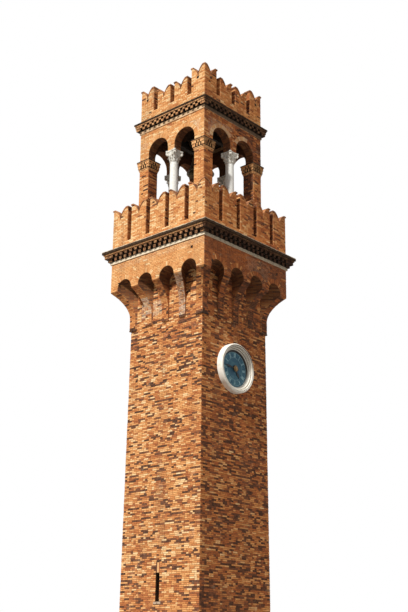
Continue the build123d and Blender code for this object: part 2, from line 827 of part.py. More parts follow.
gudgeon_end = beam_offset + bearing_length / 2 + gudgeon_proud
save("bell_headstock", headstock())
save("headstock_gudgeons", Compound([
    along_y(gudgeon_radius, headstock_half, gudgeon_end, pivot_z).solid(),
    along_y(gudgeon_radius, -gudgeon_end, -headstock_half, pivot_z).solid(),
]))


def bell():
    """Hollow bell: thick at the sound bow, thin at the waist, closed by a crown plate."""
    r = bell_rim_radius
    h = bell_height
    outside = Spline(
        (r, 0), (0.885 * r, 0.14 * h), (0.73 * r, 0.37 * h), (0.62 * r, 0.63 * h), (0.565 * r, 0.86 * h))
    shoulder = ThreePointArc((0.565 * r, 0.86 * h), (0.52 * r, 0.95 * h), (0.42 * r, h))
    inside = Spline(
        (0.95 * r, 0), (0.8 * r, 0.13 * h), (0.655 * r, 0.37 * h), (0.55 * r, 0.63 * h), (0.5 * r, 0.82 * h))
    ceiling = h - crown_thickness
    dome = ThreePointArc((0.5 * r, 0.82 * h), (0.44 * r, 0.89 * h), (0.34 * r, ceiling))
    crown = Polyline((0.42 * r, h), (0, h), (0, ceiling), (0.34 * r, ceiling))
    lip = Polyline((0.95 * r, 0), (r, 0))
    profile = make_face(
        outside.edges() + shoulder.edges() + crown.edges() + dome.edges() + inside.edges() + lip.edges())
    shell = revolve(Plane.XZ * profile, Axis.Z)
    argent = Pos(0, 0, h + canon_height / 2) * Box(0.34 * r, 0.5 * r, canon_height)
    pivot = h - clapper_pivot_below_top
    lug_bottom = pivot - clapper_lug_length / 2
    lug_top = h - crown_thickness / 2
    lug = Pos(0, 0, (lug_bottom + lug_top) / 2) * Box(
        clapper_lug_thickness, clapper_lug_length, lug_top - lug_bottom)
    pin_hole = along_y(clapper_pin_radius, -clapper_lug_length, clapper_lug_length, pivot)
    return Pos(0, 0, bell_rim_z) * (shell + argent + lug - pin_hole)


clapper_pivot_z = bell_top_z - clapper_pivot_below_top


save("bell", bell())


def clapper():
    """Forked iron clapper: cheeks each side of the lug, a pin, a rod and a ball."""
    ball_z = bell_rim_z + clapper_ball_above_rim
    cheek_inside = clapper_lug_length / 2 + clapper_fork_gap
    cheek_middle = cheek_inside + clapper_cheek_thickness / 2
    yoke_half = cheek_inside + clapper_cheek_thickness
    yoke_z = clapper_pivot_z - clapper_lug_length / 2 - clapper_fork_gap - clapper_cheek_thickness / 2
    cheek_top = clapper_pivot_z + clapper_fork_width / 2
    rod = Pos(0, 0, (yoke_z + ball_z) / 2) * Cylinder(clapper_rod_radius, yoke_z - ball_z)
    ball = Pos(0, 0, ball_z) * Sphere(clapper_ball_radius)
    yoke = Pos(0, 0, yoke_z) * Box(clapper_fork_width, 2 * yoke_half, clapper_cheek_thickness)
    cheek = Pos(0, 0, (yoke_z + cheek_top) / 2) * Box(
        clapper_fork_width, clapper_cheek_thickness, cheek_top - yoke_z)
    pin = along_y(clapper_pin_radius - gudgeon_clearance, -yoke_half, yoke_half, clapper_pivot_z)
    return rod + ball + yoke + Pos(0, -cheek_middle, 0) * cheek + Pos(0, cheek_middle, 0) * cheek + pin


save("clapper", clapper())
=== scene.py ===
# %% [markdown]
# A brick clock tower, dressed for a picture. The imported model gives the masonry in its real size, in metres, with the
# middle of the base at the origin and the clock looking along -Y. This script never moves it. It lays bricks on its
# walls, carves the capitals, paints the dial, and gives every surface a finish made of nodes.

# %% Load the tower
import json
import math
import random

import bmesh
import bpy
from mathutils import Matrix, Vector, noise


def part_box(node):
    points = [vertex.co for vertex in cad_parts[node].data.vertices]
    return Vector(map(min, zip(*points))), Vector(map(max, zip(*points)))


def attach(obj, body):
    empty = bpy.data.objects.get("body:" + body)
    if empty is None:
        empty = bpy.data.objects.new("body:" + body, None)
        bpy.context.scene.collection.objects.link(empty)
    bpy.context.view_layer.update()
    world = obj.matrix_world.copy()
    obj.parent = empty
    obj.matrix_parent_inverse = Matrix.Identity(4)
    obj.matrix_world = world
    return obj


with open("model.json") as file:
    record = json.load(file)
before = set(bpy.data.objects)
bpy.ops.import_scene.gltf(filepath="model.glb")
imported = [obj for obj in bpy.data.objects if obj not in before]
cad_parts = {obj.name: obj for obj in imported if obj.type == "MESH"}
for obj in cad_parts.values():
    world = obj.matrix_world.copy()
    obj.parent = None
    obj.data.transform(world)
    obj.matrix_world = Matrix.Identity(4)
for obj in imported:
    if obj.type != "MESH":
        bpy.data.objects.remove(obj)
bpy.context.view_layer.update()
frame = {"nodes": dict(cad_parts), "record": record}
scene = bpy.context.scene
scene.view_settings.view_transform = "Standard"

# %% [markdown]
# The camera comes first, because every finish is judged through it. The picture was taken from the street, at eye
# height, some way off the left corner of the front, with the camera tipped up by about nineteen degrees. The camera
# is turned about the vertical, tipped up, and then rolled by half a degree.

# %% Camera
EYE = Vector((-32.33, -29.27, 1.6))
HEADING, TIP, ROLL = -48.148, 18.873, 0.602
SENSOR_WIDTH, LENS = 36.0, 60.406

camera = bpy.data.objects.new("camera", bpy.data.cameras.new("camera"))
scene.collection.objects.link(camera)
camera.data.sensor_width = SENSOR_WIDTH
camera.data.lens = LENS
camera.location = EYE
aim = Matrix.Rotation(math.radians(HEADING), 4, "Z") @ Matrix.Rotation(math.radians(90 + TIP), 4, "X")
camera.rotation_euler = (aim @ Matrix.Rotation(math.radians(ROLL), 4, "Z")).to_euler()
scene.camera = camera
print("camera is", round(EYE.xy.length, 1), "m from the tower's axis")

# %% [markdown]
# A finish is a small tree of nodes. Writing each node out in full would hide the idea, so a helper class adds a noise,
# a ramp, a mix or a bump in one line each. The sky is a tree of nodes too, so the helper is in two parts: one for any
# tree, and one for a material.

# %% A helper for trees of nodes


class Nodes:
    """A tree whose nodes are added one at a time."""

    def __init__(self, owner):
        owner.use_nodes = True
        self.tree = owner.node_tree

    def feed(self, socket, value):
        """Link a socket to another one, or give it a plain value."""
        if isinstance(value, bpy.types.NodeSocket):
            self.tree.links.new(value, socket)
        else:
            socket.default_value = value

    def node(self, kind, sockets=None, **settings):
        made = self.tree.nodes.new(kind)
        for setting, value in settings.items():
            setattr(made, setting, value)
        for socket, value in (sockets or {}).items():
            self.feed(made.inputs[socket], value)
        return made

    def math(self, operation, first, second=0.0):
        return self.node("ShaderNodeMath", {0: first, 1: second}, operation=operation).outputs[0]

    def times(self, first, second):
        return self.math("MULTIPLY", first, second)

    def over(self, value, limit):
        """1 where the value is over the limit, and 0 elsewhere."""
        return self.math("GREATER_THAN", value, limit)

    def under(self, value, limit):
        return self.math("LESS_THAN", value, limit)

    def mix(self, factor, first, second, blend="MIX"):
        first, second = (
            value if isinstance(value, bpy.types.NodeSocket) else (*value, 1) for value in (first, second))
        return self.node("ShaderNodeMix", {"Factor": factor, "A": first, "B": second}, data_type="RGBA",
                         blend_type=blend).outputs["Result"]


print("helper for trees of nodes ready")

# %% [markdown]
# A material is such a tree with a shader at its end. Its patterns start from a place on the piece, in Object
# coordinates, which here are plain metres, and are spread, mottled or stretched before they make a colour or a bump.

# %% A helper for materials


class Finish(Nodes):
    """A material whose nodes end in one Principled shader."""

    def __init__(self, name, roughness, specular=0.3, metallic=0.0):
        self.material = bpy.data.materials.new(name)
        super().__init__(self.material)
        self.shader = self.tree.nodes["Principled BSDF"]
        for socket, value in (("Roughness", roughness), ("Specular IOR Level", specular), ("Metallic", metallic)):
            self.shader.inputs[socket].default_value = value
        coordinates = self.node("ShaderNodeTexCoord").outputs
        self.place, self.normal = coordinates["Object"], coordinates["Normal"]

    def split(self, vector=None):
        """The X, Y and Z of a vector, or of the place where none is given."""
        return self.node("ShaderNodeSeparateXYZ", {0: vector or self.place}).outputs

    def stretch(self, scale):
        return self.node("ShaderNodeMapping", {"Vector": self.place, "Scale": scale}).outputs["Vector"]

    def noise(self, scale, detail=4.0, roughness=0.6, place=None):
        return self.node("ShaderNodeTexNoise", {
            "Vector": place or self.place, "Scale": scale, "Detail": detail, "Roughness": roughness}).outputs["Fac"]

    def spread(self, value, low, high, to_low=0.0, to_high=1.0):
        """Stretch the range from low to high over another one, with soft ends."""
        return self.node("ShaderNodeMapRange", {
            "Value": value, "From Min": low, "From Max": high, "To Min": to_low, "To Max": to_high},
            interpolation_type="SMOOTHSTEP").outputs["Result"]

    def ramp(self, value, stops):
        made = self.node("ShaderNodeValToRGB", {"Fac": value})
        elements = made.color_ramp.elements
        while len(elements) < len(stops):
            elements.new(1.0)
        for element, (position, colour) in zip(elements, stops):
            element.position = position
            element.color = (*colour, 1)
        return made.outputs["Color"]

    def mottle(self, scale, detail, dark, light, low=0.3, high=0.7):
        """Two colours that run into each other in clouds."""
        return self.ramp(self.noise(scale, detail), [(low, dark), (high, light)])

    def bump(self, height, distance):
        made = self.node("ShaderNodeBump", {"Height": height, "Distance": distance})
        self.feed(self.shader.inputs["Normal"], made.outputs["Normal"])

    def colour(self, value):
        self.feed(self.shader.inputs["Base Color"], value)
        return self.material


print("helper for materials ready")

# %% [markdown]
# The light is a studio version of a clear afternoon: one strong lamp from the left that shines on the left wall and
# only grazes the front, a weak broad one that fills the front, and a plain even sky. The floor and the sky look pale
# to the camera and in reflections, and are darker for all other rays, so that the shaded wall keeps its depth.

# %% Floor, sky and lamp
FLOOR_HALF = 150.0
SKY_FELT, SKY_SEEN = (0.28, 0.28, 0.28), (1, 1, 1)
FLOOR_FELT, FLOOR_SEEN = (0.3, 0.29, 0.27), (0.86, 0.86, 0.85)
LAMP_TURN, LAMP_HEIGHT = math.radians(6), math.radians(44)
LAMP_FROM = Matrix.Rotation(LAMP_TURN, 3, "Z") @ Vector((-math.cos(LAMP_HEIGHT), 0, math.sin(LAMP_HEIGHT)))
LAMP_STRENGTH, LAMP_SPREAD = 4.45, math.radians(3)
FILL_FROM = Vector((0.15, -0.9, 0.35))
FILL_STRENGTH, FILL_SPREAD = 0.4, math.radians(60)
LAMP_COLOUR, FILL_COLOUR = (0.97, 0.98, 0.95), (1.0, 0.92, 0.84)


def colour_by_ray(nodes, felt, seen):
    """The seen colour for rays that come from the camera, a reflection or glass, and the felt one for the rest."""
    rays = nodes.node("ShaderNodeLightPath").outputs
    direct = nodes.math("MAXIMUM", rays["Is Camera Ray"], rays["Is Glossy Ray"])
    direct = nodes.math("MAXIMUM", direct, rays["Is Transmission Ray"])
    return nodes.mix(direct, felt, seen)


sky = bpy.data.worlds.new("sky")
scene.world = sky
sky_nodes = Nodes(sky)
sky_nodes.feed(sky.node_tree.nodes["Background"].inputs["Color"], colour_by_ray(sky_nodes, SKY_FELT, SKY_SEEN))

floor_form = bmesh.new()
bmesh.ops.create_grid(floor_form, x_segments=1, y_segments=1, size=FLOOR_HALF)
floor_mesh = bpy.data.meshes.new("floor")
floor_form.to_mesh(floor_mesh)
floor = bpy.data.objects.new("floor", floor_mesh)
scene.collection.objects.link(floor)
pale = Finish("pale floor", 0.9, 0.1)
floor.data.materials.append(pale.colour(colour_by_ray(pale, FLOOR_FELT, FLOOR_SEEN)))


def light_from(name, source, strength, spread, colour):
    lamp = bpy.data.objects.new(name, bpy.data.lights.new(name, "SUN"))
    scene.collection.objects.link(lamp)
    lamp.data.energy = strength
    lamp.data.angle = spread
    lamp.data.color = colour
    lamp.rotation_euler = source.to_track_quat("Z", "Y").to_euler()
    print(name, "shines from", [round(value, 2) for value in source])


light_from("lamp", LAMP_FROM, LAMP_STRENGTH, LAMP_SPREAD, LAMP_COLOUR)
light_from("fill", FILL_FROM, FILL_STRENGTH, FILL_SPREAD, FILL_COLOUR)

# %% [markdown]
# Old handmade bricks differ because they sat in different parts of the kiln: nearly black where the fire touched them,
# then red-brown, orange, and a pale cream where the clay was limy. One ramp holds that whole range, and each brick
# picks its place on it with one number, its tone. Laid bricks carry the tone as an attribute. Where the plain wall
# shows, on curved soffits and inside, a Brick Texture deals out the tones instead.

# %% Brick finishes
BRICK_TONES = [
    (0.0, (0.06, 0.033, 0.024)), (0.18, (0.2, 0.082, 0.045)), (0.36, (0.47, 0.152, 0.054)),
    (0.54, (0.65, 0.262, 0.088)), (0.74, (0.8, 0.4, 0.155)), (1.0, (0.9, 0.62, 0.33)),
]
MORTAR = (0.36, 0.25, 0.16)
COURSE, JOINT = 0.072, 0.011
STRETCHER, HEADER = 0.268, 0.134
# the last two colours are painted shade: the dark of niches and inner faces, and the black of gaps and holes
GRIME, BLOOM, INSIDE_SHADE, SHADE_BLACK = (0.2, 0.1, 0.06), (0.8, 0.55, 0.35), (0.07, 0.026, 0.012), (0.035, 0.022, 0.015)
# tint of painted shade, laid on faces that look to the front
FRONT_SHADE_TINT = (1.0, 0.93, 0.87)


def weathered(finish, colour, grime_share=0.5):
    """Soot, rain streaks and pale lime bloom over a brick colour."""
    cloud = finish.spread(finish.noise(0.55, 5.0), 0.36, 0.66)
    streak = finish.spread(finish.noise(1.0, 4.0, place=finish.stretch((2.6, 2.6, 0.22))), 0.42, 0.7)
    colour = finish.mix(finish.times(finish.times(cloud, streak), grime_share), colour, GRIME)
    colour = finish.mix(finish.spread(finish.noise(2.1, 6.0, 0.7), 0.56, 0.76, 0.0, 0.3), colour, BLOOM)
    grain = finish.spread(finish.noise(38.0, 3.0), 0.25, 0.75, 0.78, 1.16)
    return finish.mix(1.0, colour, grain, "MULTIPLY")


def on_front(finish, least=0.5):
    """1 on faces that look to the front, the side in shade, where colours are darkened as painted shade."""
    return finish.under(finish.split(finish.normal)["Y"], -least)


def laid_brick():
    finish = Finish("laid brick", 0.92, 0.12)
    tone, lime = (finish.node("ShaderNodeAttribute", attribute_name=name).outputs["Fac"] for name in ("tone", "lime"))
    wander = finish.spread(finish.noise(14.0, 3.0), 0.2, 0.8, -0.06, 0.06)
    colour = weathered(finish, finish.ramp(finish.math("ADD", tone, wander), BRICK_TONES), 0.4)
    patchy = finish.spread(finish.noise(7.0, 6.0, 0.7), 0.36, 0.56)
    plaster = finish.mottle(5.0, 5.0, (0.4, 0.34, 0.25), (0.74, 0.62, 0.49), 0.35, 0.6)
    colour = finish.mix(finish.times(lime, patchy), colour, plaster)
    finish.bump(finish.noise(60.0, 5.0), 0.004)
    # painted shade: the front is tinted redder and darker
    return finish.colour(finish.mix(on_front(finish), colour, FRONT_SHADE_TINT, "MULTIPLY"))


BRICK = laid_brick()
print("brick tones on the ramp:", len(BRICK_TONES))

# %% [markdown]
# The pattern of bricks runs along the wall and up it. The same finish is used inside, where it is painted black as
# shade, and under the laid bricks, where all that shows of it is mortar. Between two heights it darkens upwards, as
# painted shade under the arches. The wall's own box tells the two faces apart.

# %% Bricks as a pattern, and mortar
EARTH_MORTAR, EARTH_MORTAR_DARK = (0.22, 0.13, 0.075), (0.1, 0.055, 0.03)
LIME_MORTAR, LIME_MORTAR_DARK = (0.46, 0.28, 0.16), (0.27, 0.14, 0.07)
FACE_MARGIN, INNER_SHADE = 0.002, 0.92


def wall_place(finish):
    """Coordinates that run along the wall and up it, whichever way the surface looks."""
    normal, place = finish.split(finish.normal), finish.split()
    wall = {}
    for target, usual, facing, least in (("X", "X", "X", 0.6), ("Y", "Z", "Z", 0.8)):
        turned = finish.over(finish.math("ABSOLUTE", normal[facing]), least)
        wall[target] = finish.node("ShaderNodeMix", {"Factor": turned, "A": place[usual], "B": place["Y"]},
                                   data_type="FLOAT").outputs["Result"]
    return finish.node("ShaderNodeCombineXYZ", wall).outputs[0]


def brick_pattern(name, low, high, wall, shade_levels, shade_shares):
    """Bricks as a pattern, with tones between a low and a high one.

    Painted shade grows between two heights and lies thick on the inner face of the wall. On the outer face, where laid
    bricks cover it, all is mortar.
    """
    inner, face = -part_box(wall)[1].y, -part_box(wall)[0].y
    finish = Finish(name, 0.92, 0.12)
    bricks = finish.node("ShaderNodeTexBrick", {
        "Vector": wall_place(finish), "Scale": 1.0, "Mortar Size": JOINT / 2, "Mortar Smooth": 0.3, "Bias": 0.0,
        "Brick Width": STRETCHER, "Row Height": COURSE, "Color1": (low, low, low, 1), "Color2": (high, high, high, 1),
        "Mortar": (0.5, 0.5, 0.5, 1)}, offset=0.5).outputs
    colour = finish.mix(bricks["Fac"], finish.ramp(bricks["Color"], BRICK_TONES), MORTAR)
    finish.bump(finish.math("SUBTRACT", finish.times(finish.noise(50.0, 4.0), 0.3), bricks["Fac"]), 0.012)
    place = finish.split()
    out = finish.math("MAXIMUM", *(finish.math("ABSOLUTE", place[axis]) for axis in "XY"))
    painted_shade = finish.math("MAXIMUM", finish.spread(place["Z"], *shade_levels, *shade_shares),
                       finish.times(finish.under(out, inner + FACE_MARGIN), INNER_SHADE))
    colour = finish.mix(painted_shade, weathered(finish, colour), INSIDE_SHADE)
    return finish.colour(finish.mix(finish.over(out, face - FACE_MARGIN), colour, LIME_MORTAR))


def mortar_bed(name, light, dark):
    finish = Finish(name, 0.95, 0.1)
    finish.bump(finish.noise(80.0, 4.0), 0.004)
    return finish.colour(weathered(finish, finish.mottle(9.0, 5.0, dark, light)))


GALLERY_HALF, BELFRY_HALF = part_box("corbel_gallery_front")[1].x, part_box("belfry_plinth")[1].x
# painted shade: the niches darken towards their arches, and the arcade darkens upwards and on its inner face
CORBEL_PATTERN = brick_pattern("corbel brick", 0.15, 0.65, "corbel_gallery_front", (16.2, 17.0), (0.1, 0.72))
ARCADE_PATTERN = brick_pattern("arcade brick", 0.1, 0.6, "arcade_wall_front", (22.8, 24.0), (0.5, 0.7))
EARTH_BED = mortar_bed("earthy mortar", EARTH_MORTAR, EARTH_MORTAR_DARK)
# painted shade for the scaffold holes
HOLE_SHADE = mortar_bed("painted shade of a hole", SHADE_BLACK, (0.012, 0.008, 0.006))
LIME_BED = mortar_bed("lime mortar", LIME_MORTAR, LIME_MORTAR_DARK)
print("half width of the gallery and of the belfry:", round(GALLERY_HALF, 3), round(BELFRY_HALF, 3))

# %% [markdown]
# The other finishes are quieter. The dressed stone is a white limestone that has gone grey and yellow where rain
# reaches it. The slabs are dark with soot, with a worn pale edge. The mouldings and copings are plain terracotta. On
# faces that look to the front, stone and tile are darkened as painted shade, and the ledges under the corbel piers are
# dark tile as painted shade.

# %% Stone and tile finishes
STREAK, FRONT_STONE_SHADE, FRONT_TILE_SHADE = (0.2, 0.16, 0.12), (0.06, 0.045, 0.035), (0.05, 0.03, 0.02)
WORN_EDGE, EDGE_FROM, EDGE_TO = (0.62, 0.5, 0.36), 0.026, 0.014


def stone(name, light, dark, streaks=0.5, coarse=9.0, front_shade=0.0):
    finish = Finish(name, 0.75, 0.25)
    colour = finish.mottle(coarse, 6.0, dark, light, 0.32, 0.5)
    drip = finish.spread(finish.noise(3.0, 4.0, place=finish.stretch((3.0, 3.0, 0.3))), 0.5, 0.72)
    colour = finish.mix(finish.times(drip, streaks), colour, STREAK)
    finish.bump(finish.noise(45.0, 5.0), 0.004)
    # painted shade on faces that look to the front
    return finish.colour(finish.mix(finish.times(on_front(finish, 0.2), front_shade), colour, FRONT_STONE_SHADE))


def tile(name, light, dark, front_shade=0.0):
    """Terracotta in short lengths, each a little different."""
    finish = Finish(name, 0.85, 0.2)
    cells = finish.node("ShaderNodeTexVoronoi", {"Vector": finish.place, "Scale": 6.0}, feature="F1",
                        distance="CHEBYCHEV")
    colour = weathered(finish, finish.ramp(cells.outputs["Color"], [(0.25, dark), (0.7, light)]))
    finish.bump(finish.noise(40.0, 5.0), 0.005)
    # painted shade on faces that look to the front
    return finish.colour(finish.mix(finish.times(on_front(finish, 0.2), front_shade), colour, FRONT_TILE_SHADE))


def slab_stone(name, top):
    """Dark slab whose upper edge is worn down to pale stone."""
    finish = Finish(name, 0.95, 0.08)
    colour = finish.mottle(7.0, 6.0, (0.02, 0.012, 0.008), (0.085, 0.05, 0.03), 0.3, 0.65)
    wander = finish.spread(finish.noise(5.0, 5.0), 0.3, 0.7, -0.012, 0.012)
    edge = finish.spread(finish.math("ADD", finish.split()["Z"], wander), top - EDGE_FROM, top - EDGE_TO)
    finish.bump(finish.noise(30.0, 5.0), 0.008)
    return finish.colour(finish.mix(edge, colour, WORN_EDGE))


MARBLE = stone("white marble", (0.85, 0.83, 0.79), (0.72, 0.68, 0.61), 0.14)
CARVED_MARBLE = stone("carved marble", (0.78, 0.74, 0.67), (0.3, 0.24, 0.18), 0.6, 13.0)
LIMESTONE = stone("cream limestone", (0.82, 0.68, 0.5), (0.6, 0.44, 0.28), 0.45, front_shade=0.5)
SILL_STONE = stone("grey sill stone", (0.5, 0.36, 0.25), (0.2, 0.13, 0.09), 0.6)
MOULDED_BRICK = tile("moulded brick", (0.8, 0.54, 0.32), (0.5, 0.31, 0.17), 0.87)
COPING_TILE = tile("coping tile", (0.5, 0.21, 0.085), (0.17, 0.065, 0.03))
# painted shade: the ledges at the feet of the corbel piers are dark as their shadow
LEDGE_SHADE_TILE = tile("tile dark as painted shade", (0.12, 0.055, 0.03), (0.03, 0.016, 0.01))
slab_tops = {name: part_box(name)[1].z for name in ("terrace_slab", "roof_slab", "ground_floor")}
slab_tops["roof_slab"] += 0.1
# the roof slab isn't worn: its pale edge is put above it, out of sight
SLABS = {name: slab_stone(f"dark slab of {name}", top) for name, top in slab_tops.items()}
print("marble, limestone, tile and", len(SLABS), "slabs ready")

# %% [markdown]
# Under both crowns, bricks stick out like rows of teeth. Their ends show the brick, while the gaps between them are
# painted black as shade, and on the front all of it is darkened as painted shade. How far a place is from the tower's
# axis tells an end from a gap, so one finish does both.

# %% Teeth of the cornices
TOOTH_END, HAIR, ROW = 0.018, 0.001, 2 * COURSE
DIRT, FRONT_TEETH_SHADE, FRONT_MARGIN, PATCHY = (0.09, 0.042, 0.025), (0.035, 0.014, 0.008), 0.02, 0.15


def toothed(name, centre, bottom, tips, brick, dirt_level, front_shade, shadow_lines=()):
    """Two rows of teeth, two courses each, whose ends show the brick and whose gaps are painted black as shade.

    Centre is how far the middle of the work is from both main planes, and tips is how far each row reaches from it.
    Brick is how the brick is mottled. Shadow lines are pairs of heights between which all is black, as painted shadow.
    """
    finish = Finish(name, 0.9, 0.15)
    place = finish.split()
    reach = finish.math("MAXIMUM", *(
        finish.math("ABSOLUTE", finish.math("SUBTRACT", finish.math("ABSOLUTE", place[axis]), centre))
        for axis in "XY"))
    upper_row = finish.over(place["Z"], bottom + ROW - HAIR)
    end = finish.math("ADD", finish.times(upper_row, tips[1] - tips[0]), tips[0] - TOOTH_END)
    in_rows = finish.under(place["Z"], bottom + 2 * ROW - HAIR)
    # painted shade: black in the gaps behind the tips of the teeth
    shadow_black = finish.times(finish.times(finish.under(reach, end), in_rows), finish.over(place["Z"], bottom - HAIR))
    for low, high in shadow_lines:
        in_line = finish.times(finish.over(place["Z"], low), finish.under(place["Z"], high))
        shadow_black = finish.math("MAXIMUM", shadow_black, in_line)
    dirt = finish.spread(finish.noise(13.0, 5.0), dirt_level, dirt_level + 0.2, 0.0, 0.85)
    dirt = finish.times(dirt, finish.math("ADD", finish.times(in_rows, 0.7), 0.3))
    colour = finish.mix(dirt, finish.mottle(*brick), DIRT)
    # painted shade on the front, varied by a noise
    before = finish.under(place["Y"], FRONT_MARGIN - centre - tips[0])
    shaded_front = finish.spread(finish.noise(3.0, 4.0), 0.3, 0.7, front_shade - PATCHY, front_shade + PATCHY)
    colour = finish.mix(finish.times(before, shaded_front), colour, FRONT_TEETH_SHADE)
    finish.bump(finish.noise(40.0, 4.0), 0.006)
    return finish.colour(finish.mix(shadow_black, colour, SHADE_BLACK))


lower_teeth_z, upper_teeth_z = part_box("lower_dentils")[0].z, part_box("upper_dentils")[0].z
LOWER_TEETH = toothed("teeth with painted shade", 0.0, lower_teeth_z, (GALLERY_HALF + 0.134, GALLERY_HALF + 0.245),
                      (8.0, 5.0, (0.42, 0.15, 0.06), (0.8, 0.46, 0.2)), 0.32, 0.88)
UPPER_TEETH = toothed("brick teeth", 0.0, upper_teeth_z, (BELFRY_HALF + 0.165, BELFRY_HALF + 0.19),
                      (9.0, 5.0, (0.52, 0.21, 0.08), (0.8, 0.47, 0.22)), 0.42, 0.84)
impost_low, impost_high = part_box("pier_imposts")
impost_teeth_z = impost_low.z + ROW
IMPOST_TEETH = toothed(
    "impost teeth", BELFRY_HALF - 0.287, impost_teeth_z, (0.353, 0.375),
    (9.0, 5.0, (0.5, 0.18, 0.06), (0.9, 0.52, 0.23), 0.3, 0.65), 0.5, 0.5,
    # bands of painted shadow, under the teeth and below the top of the impost
    ((impost_teeth_z - 0.04, impost_teeth_z), (impost_high.z - 0.055, impost_high.z + 0.01)))
print("teeth start at heights", [round(high, 2) for high in (lower_teeth_z, impost_teeth_z, upper_teeth_z)])

# %% [markdown]
# The clock's ring is turned with fine grooves, painted dark as shade, most of all at the top where the ring looks down.
# Towards the upper right its inner edge is painted black as shade, and the rim of the dial beside it as the ring's
# shadow. Both finishes measure a place from the middle of the clock.

# %% Stone and paint of the clock
RING_GROOVES, GROOVES_FROM, GROOVES_TO = 0.07, 0.015, 1.015
RING_GROOVE_SHADE, RIM_SHADE, DIAL_RIM_SHADOW = (0.16, 0.1, 0.06), (0.03, 0.022, 0.018), (0.006, 0.008, 0.01)
clock_low, clock_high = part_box("clock_ring")
clock_middle = (clock_low + clock_high) / 2
ring_radius = (clock_high.x - clock_low.x) / 2


def from_clock(finish):
    """How far a place is above the clock's middle and away from it, and how near to its upper right, from 0 to 1."""
    place = finish.split()
    across, above = (finish.math("SUBTRACT", place[axis], getattr(clock_middle, axis.lower())) for axis in "XZ")
    away = finish.math("SQRT", finish.math("ADD", finish.times(across, across), finish.times(above, above)))
    corner = finish.spread(finish.math("ADD", finish.times(across, 0.6), above), -0.1, 0.6)
    return above, away, corner


def ring_stone():
    """Pale stone turned with grooves round the clock, with painted shade in the grooves and black painted shade at the
    inner edge.
    """
    finish = Finish("ring stone", 0.75, 0.25)
    colour = finish.mottle(6.0, 6.0, (0.76, 0.68, 0.56), (0.9, 0.84, 0.75), 0.3, 0.5)
    above, away, corner = from_clock(finish)
    wave = finish.math("PINGPONG", finish.math("SUBTRACT", away, GROOVES_FROM), RING_GROOVES / 2)
    smooth = finish.math("MAXIMUM", finish.spread(wave, 0.004, 0.02), finish.over(away, GROOVES_TO))
    # painted shade in the grooves, darker towards the top
    painted_shade = finish.math("ADD", finish.spread(above, -0.3, 0.75, 0.15, 1.0),
                       finish.spread(finish.noise(4.0, 5.0), 0.35, 0.65, -0.15, 0.1))
    colour = finish.mix(finish.times(finish.math("SUBTRACT", 1.0, smooth), painted_shade), colour, RING_GROOVE_SHADE)
    finish.bump(smooth, 0.012)
    # painted shade: black at the inner edge towards the upper right
    return finish.colour(finish.mix(finish.times(finish.spread(away, 0.8, 0.84, 1.0, 0.0), corner), colour, RIM_SHADE))


def dial_paint():
    finish = Finish("dial paint", 0.6, 0.3)
    colour = finish.ramp(finish.noise(3.5, 6.0, 0.65), [
        (0.3, (0.014, 0.055, 0.095)), (0.52, (0.026, 0.098, 0.15)), (0.75, (0.08, 0.19, 0.23))])
    away, corner = from_clock(finish)[1:]
    finish.bump(finish.noise(70.0, 4.0), 0.002)
    # painted shadow of the ring on the rim of the dial, towards the upper right
    return finish.colour(finish.mix(finish.times(finish.spread(away, 0.7, 0.745), corner), colour, DIAL_RIM_SHADOW))


RING_STONE = ring_stone()
DIAL_PAINT = dial_paint()
NUMERAL_PAINT = stone("numeral paint", (0.34, 0.54, 0.6), (0.08, 0.2, 0.25), 0.3, 24.0)
print("clock's middle:", [round(value, 3) for value in clock_middle], "and ring's radius:", round(ring_radius, 3))

# %% [markdown]
# Oak, iron, bronze and gilding each get their own grain, wear and gloss. Wood grain is a noise stretched along the
# beam, rust a noise cut off sharply, and the green of the bronze runs down it in streaks.

# %% Wood and metal finishes
RUST, VERDIGRIS = (0.2, 0.07, 0.025), (0.05, 0.1, 0.075)


def oak(name, stops):
    finish = Finish(name, 0.8, 0.2)
    grain = finish.noise(6.0, 7.0, 0.7, finish.stretch((9.0, 9.0, 0.8)))
    finish.bump(grain, 0.006)
    return finish.colour(finish.ramp(grain, stops))


def iron(name, light, dark, rust):
    finish = Finish(name, 0.55, 0.4, 0.6)
    rusty = finish.spread(finish.noise(11.0, 6.0, 0.75), 0.58, 0.7, 0.0, rust)
    finish.bump(finish.noise(90.0, 3.0), 0.001)
    return finish.colour(finish.mix(rusty, finish.mottle(25.0, 6.0, dark, light, 0.35), RUST))


def bronze():
    finish = Finish("bell bronze", 0.45, 0.5, 0.9)
    colour = finish.mottle(4.0, 7.0, (0.06, 0.04, 0.02), (0.13, 0.085, 0.04), 0.3, 0.62)
    green = finish.noise(5.0, 6.0, 0.7, finish.stretch((3.0, 3.0, 0.5)))
    return finish.colour(finish.mix(finish.spread(green, 0.52, 0.7, 0.0, 0.6), colour, VERDIGRIS))


def gilding(name, light, dark):
    finish = Finish(name, 0.42, 0.4, 0.35)
    return finish.colour(finish.mottle(30.0, 6.0, dark, light, 0.35, 0.6))


OAK = oak("weathered oak", [(0.3, (0.05, 0.032, 0.02)), (0.55, (0.13, 0.085, 0.05)), (0.8, (0.22, 0.16, 0.1))])
SMOKED_OAK = oak("smoked oak", [(0.3, (0.012, 0.008, 0.006)), (0.8, (0.05, 0.034, 0.024))])
HAND_IRON = iron("black iron", (0.03, 0.03, 0.03), (0.012, 0.012, 0.014), 0.15)
FORGED_IRON = iron("forged iron", (0.1, 0.09, 0.08), (0.04, 0.036, 0.033), 0.6)
BRONZE = bronze()
GOLD_LEAF = gilding("gold leaf", (0.3, 0.18, 0.06), (0.1, 0.055, 0.02))
print("wood and metal ready")

# %% [markdown]
# Each node of the model keeps its form and takes the finish of its material. The shaft walls are covered by laid
# bricks all over, so what shows of them is the mortar between.

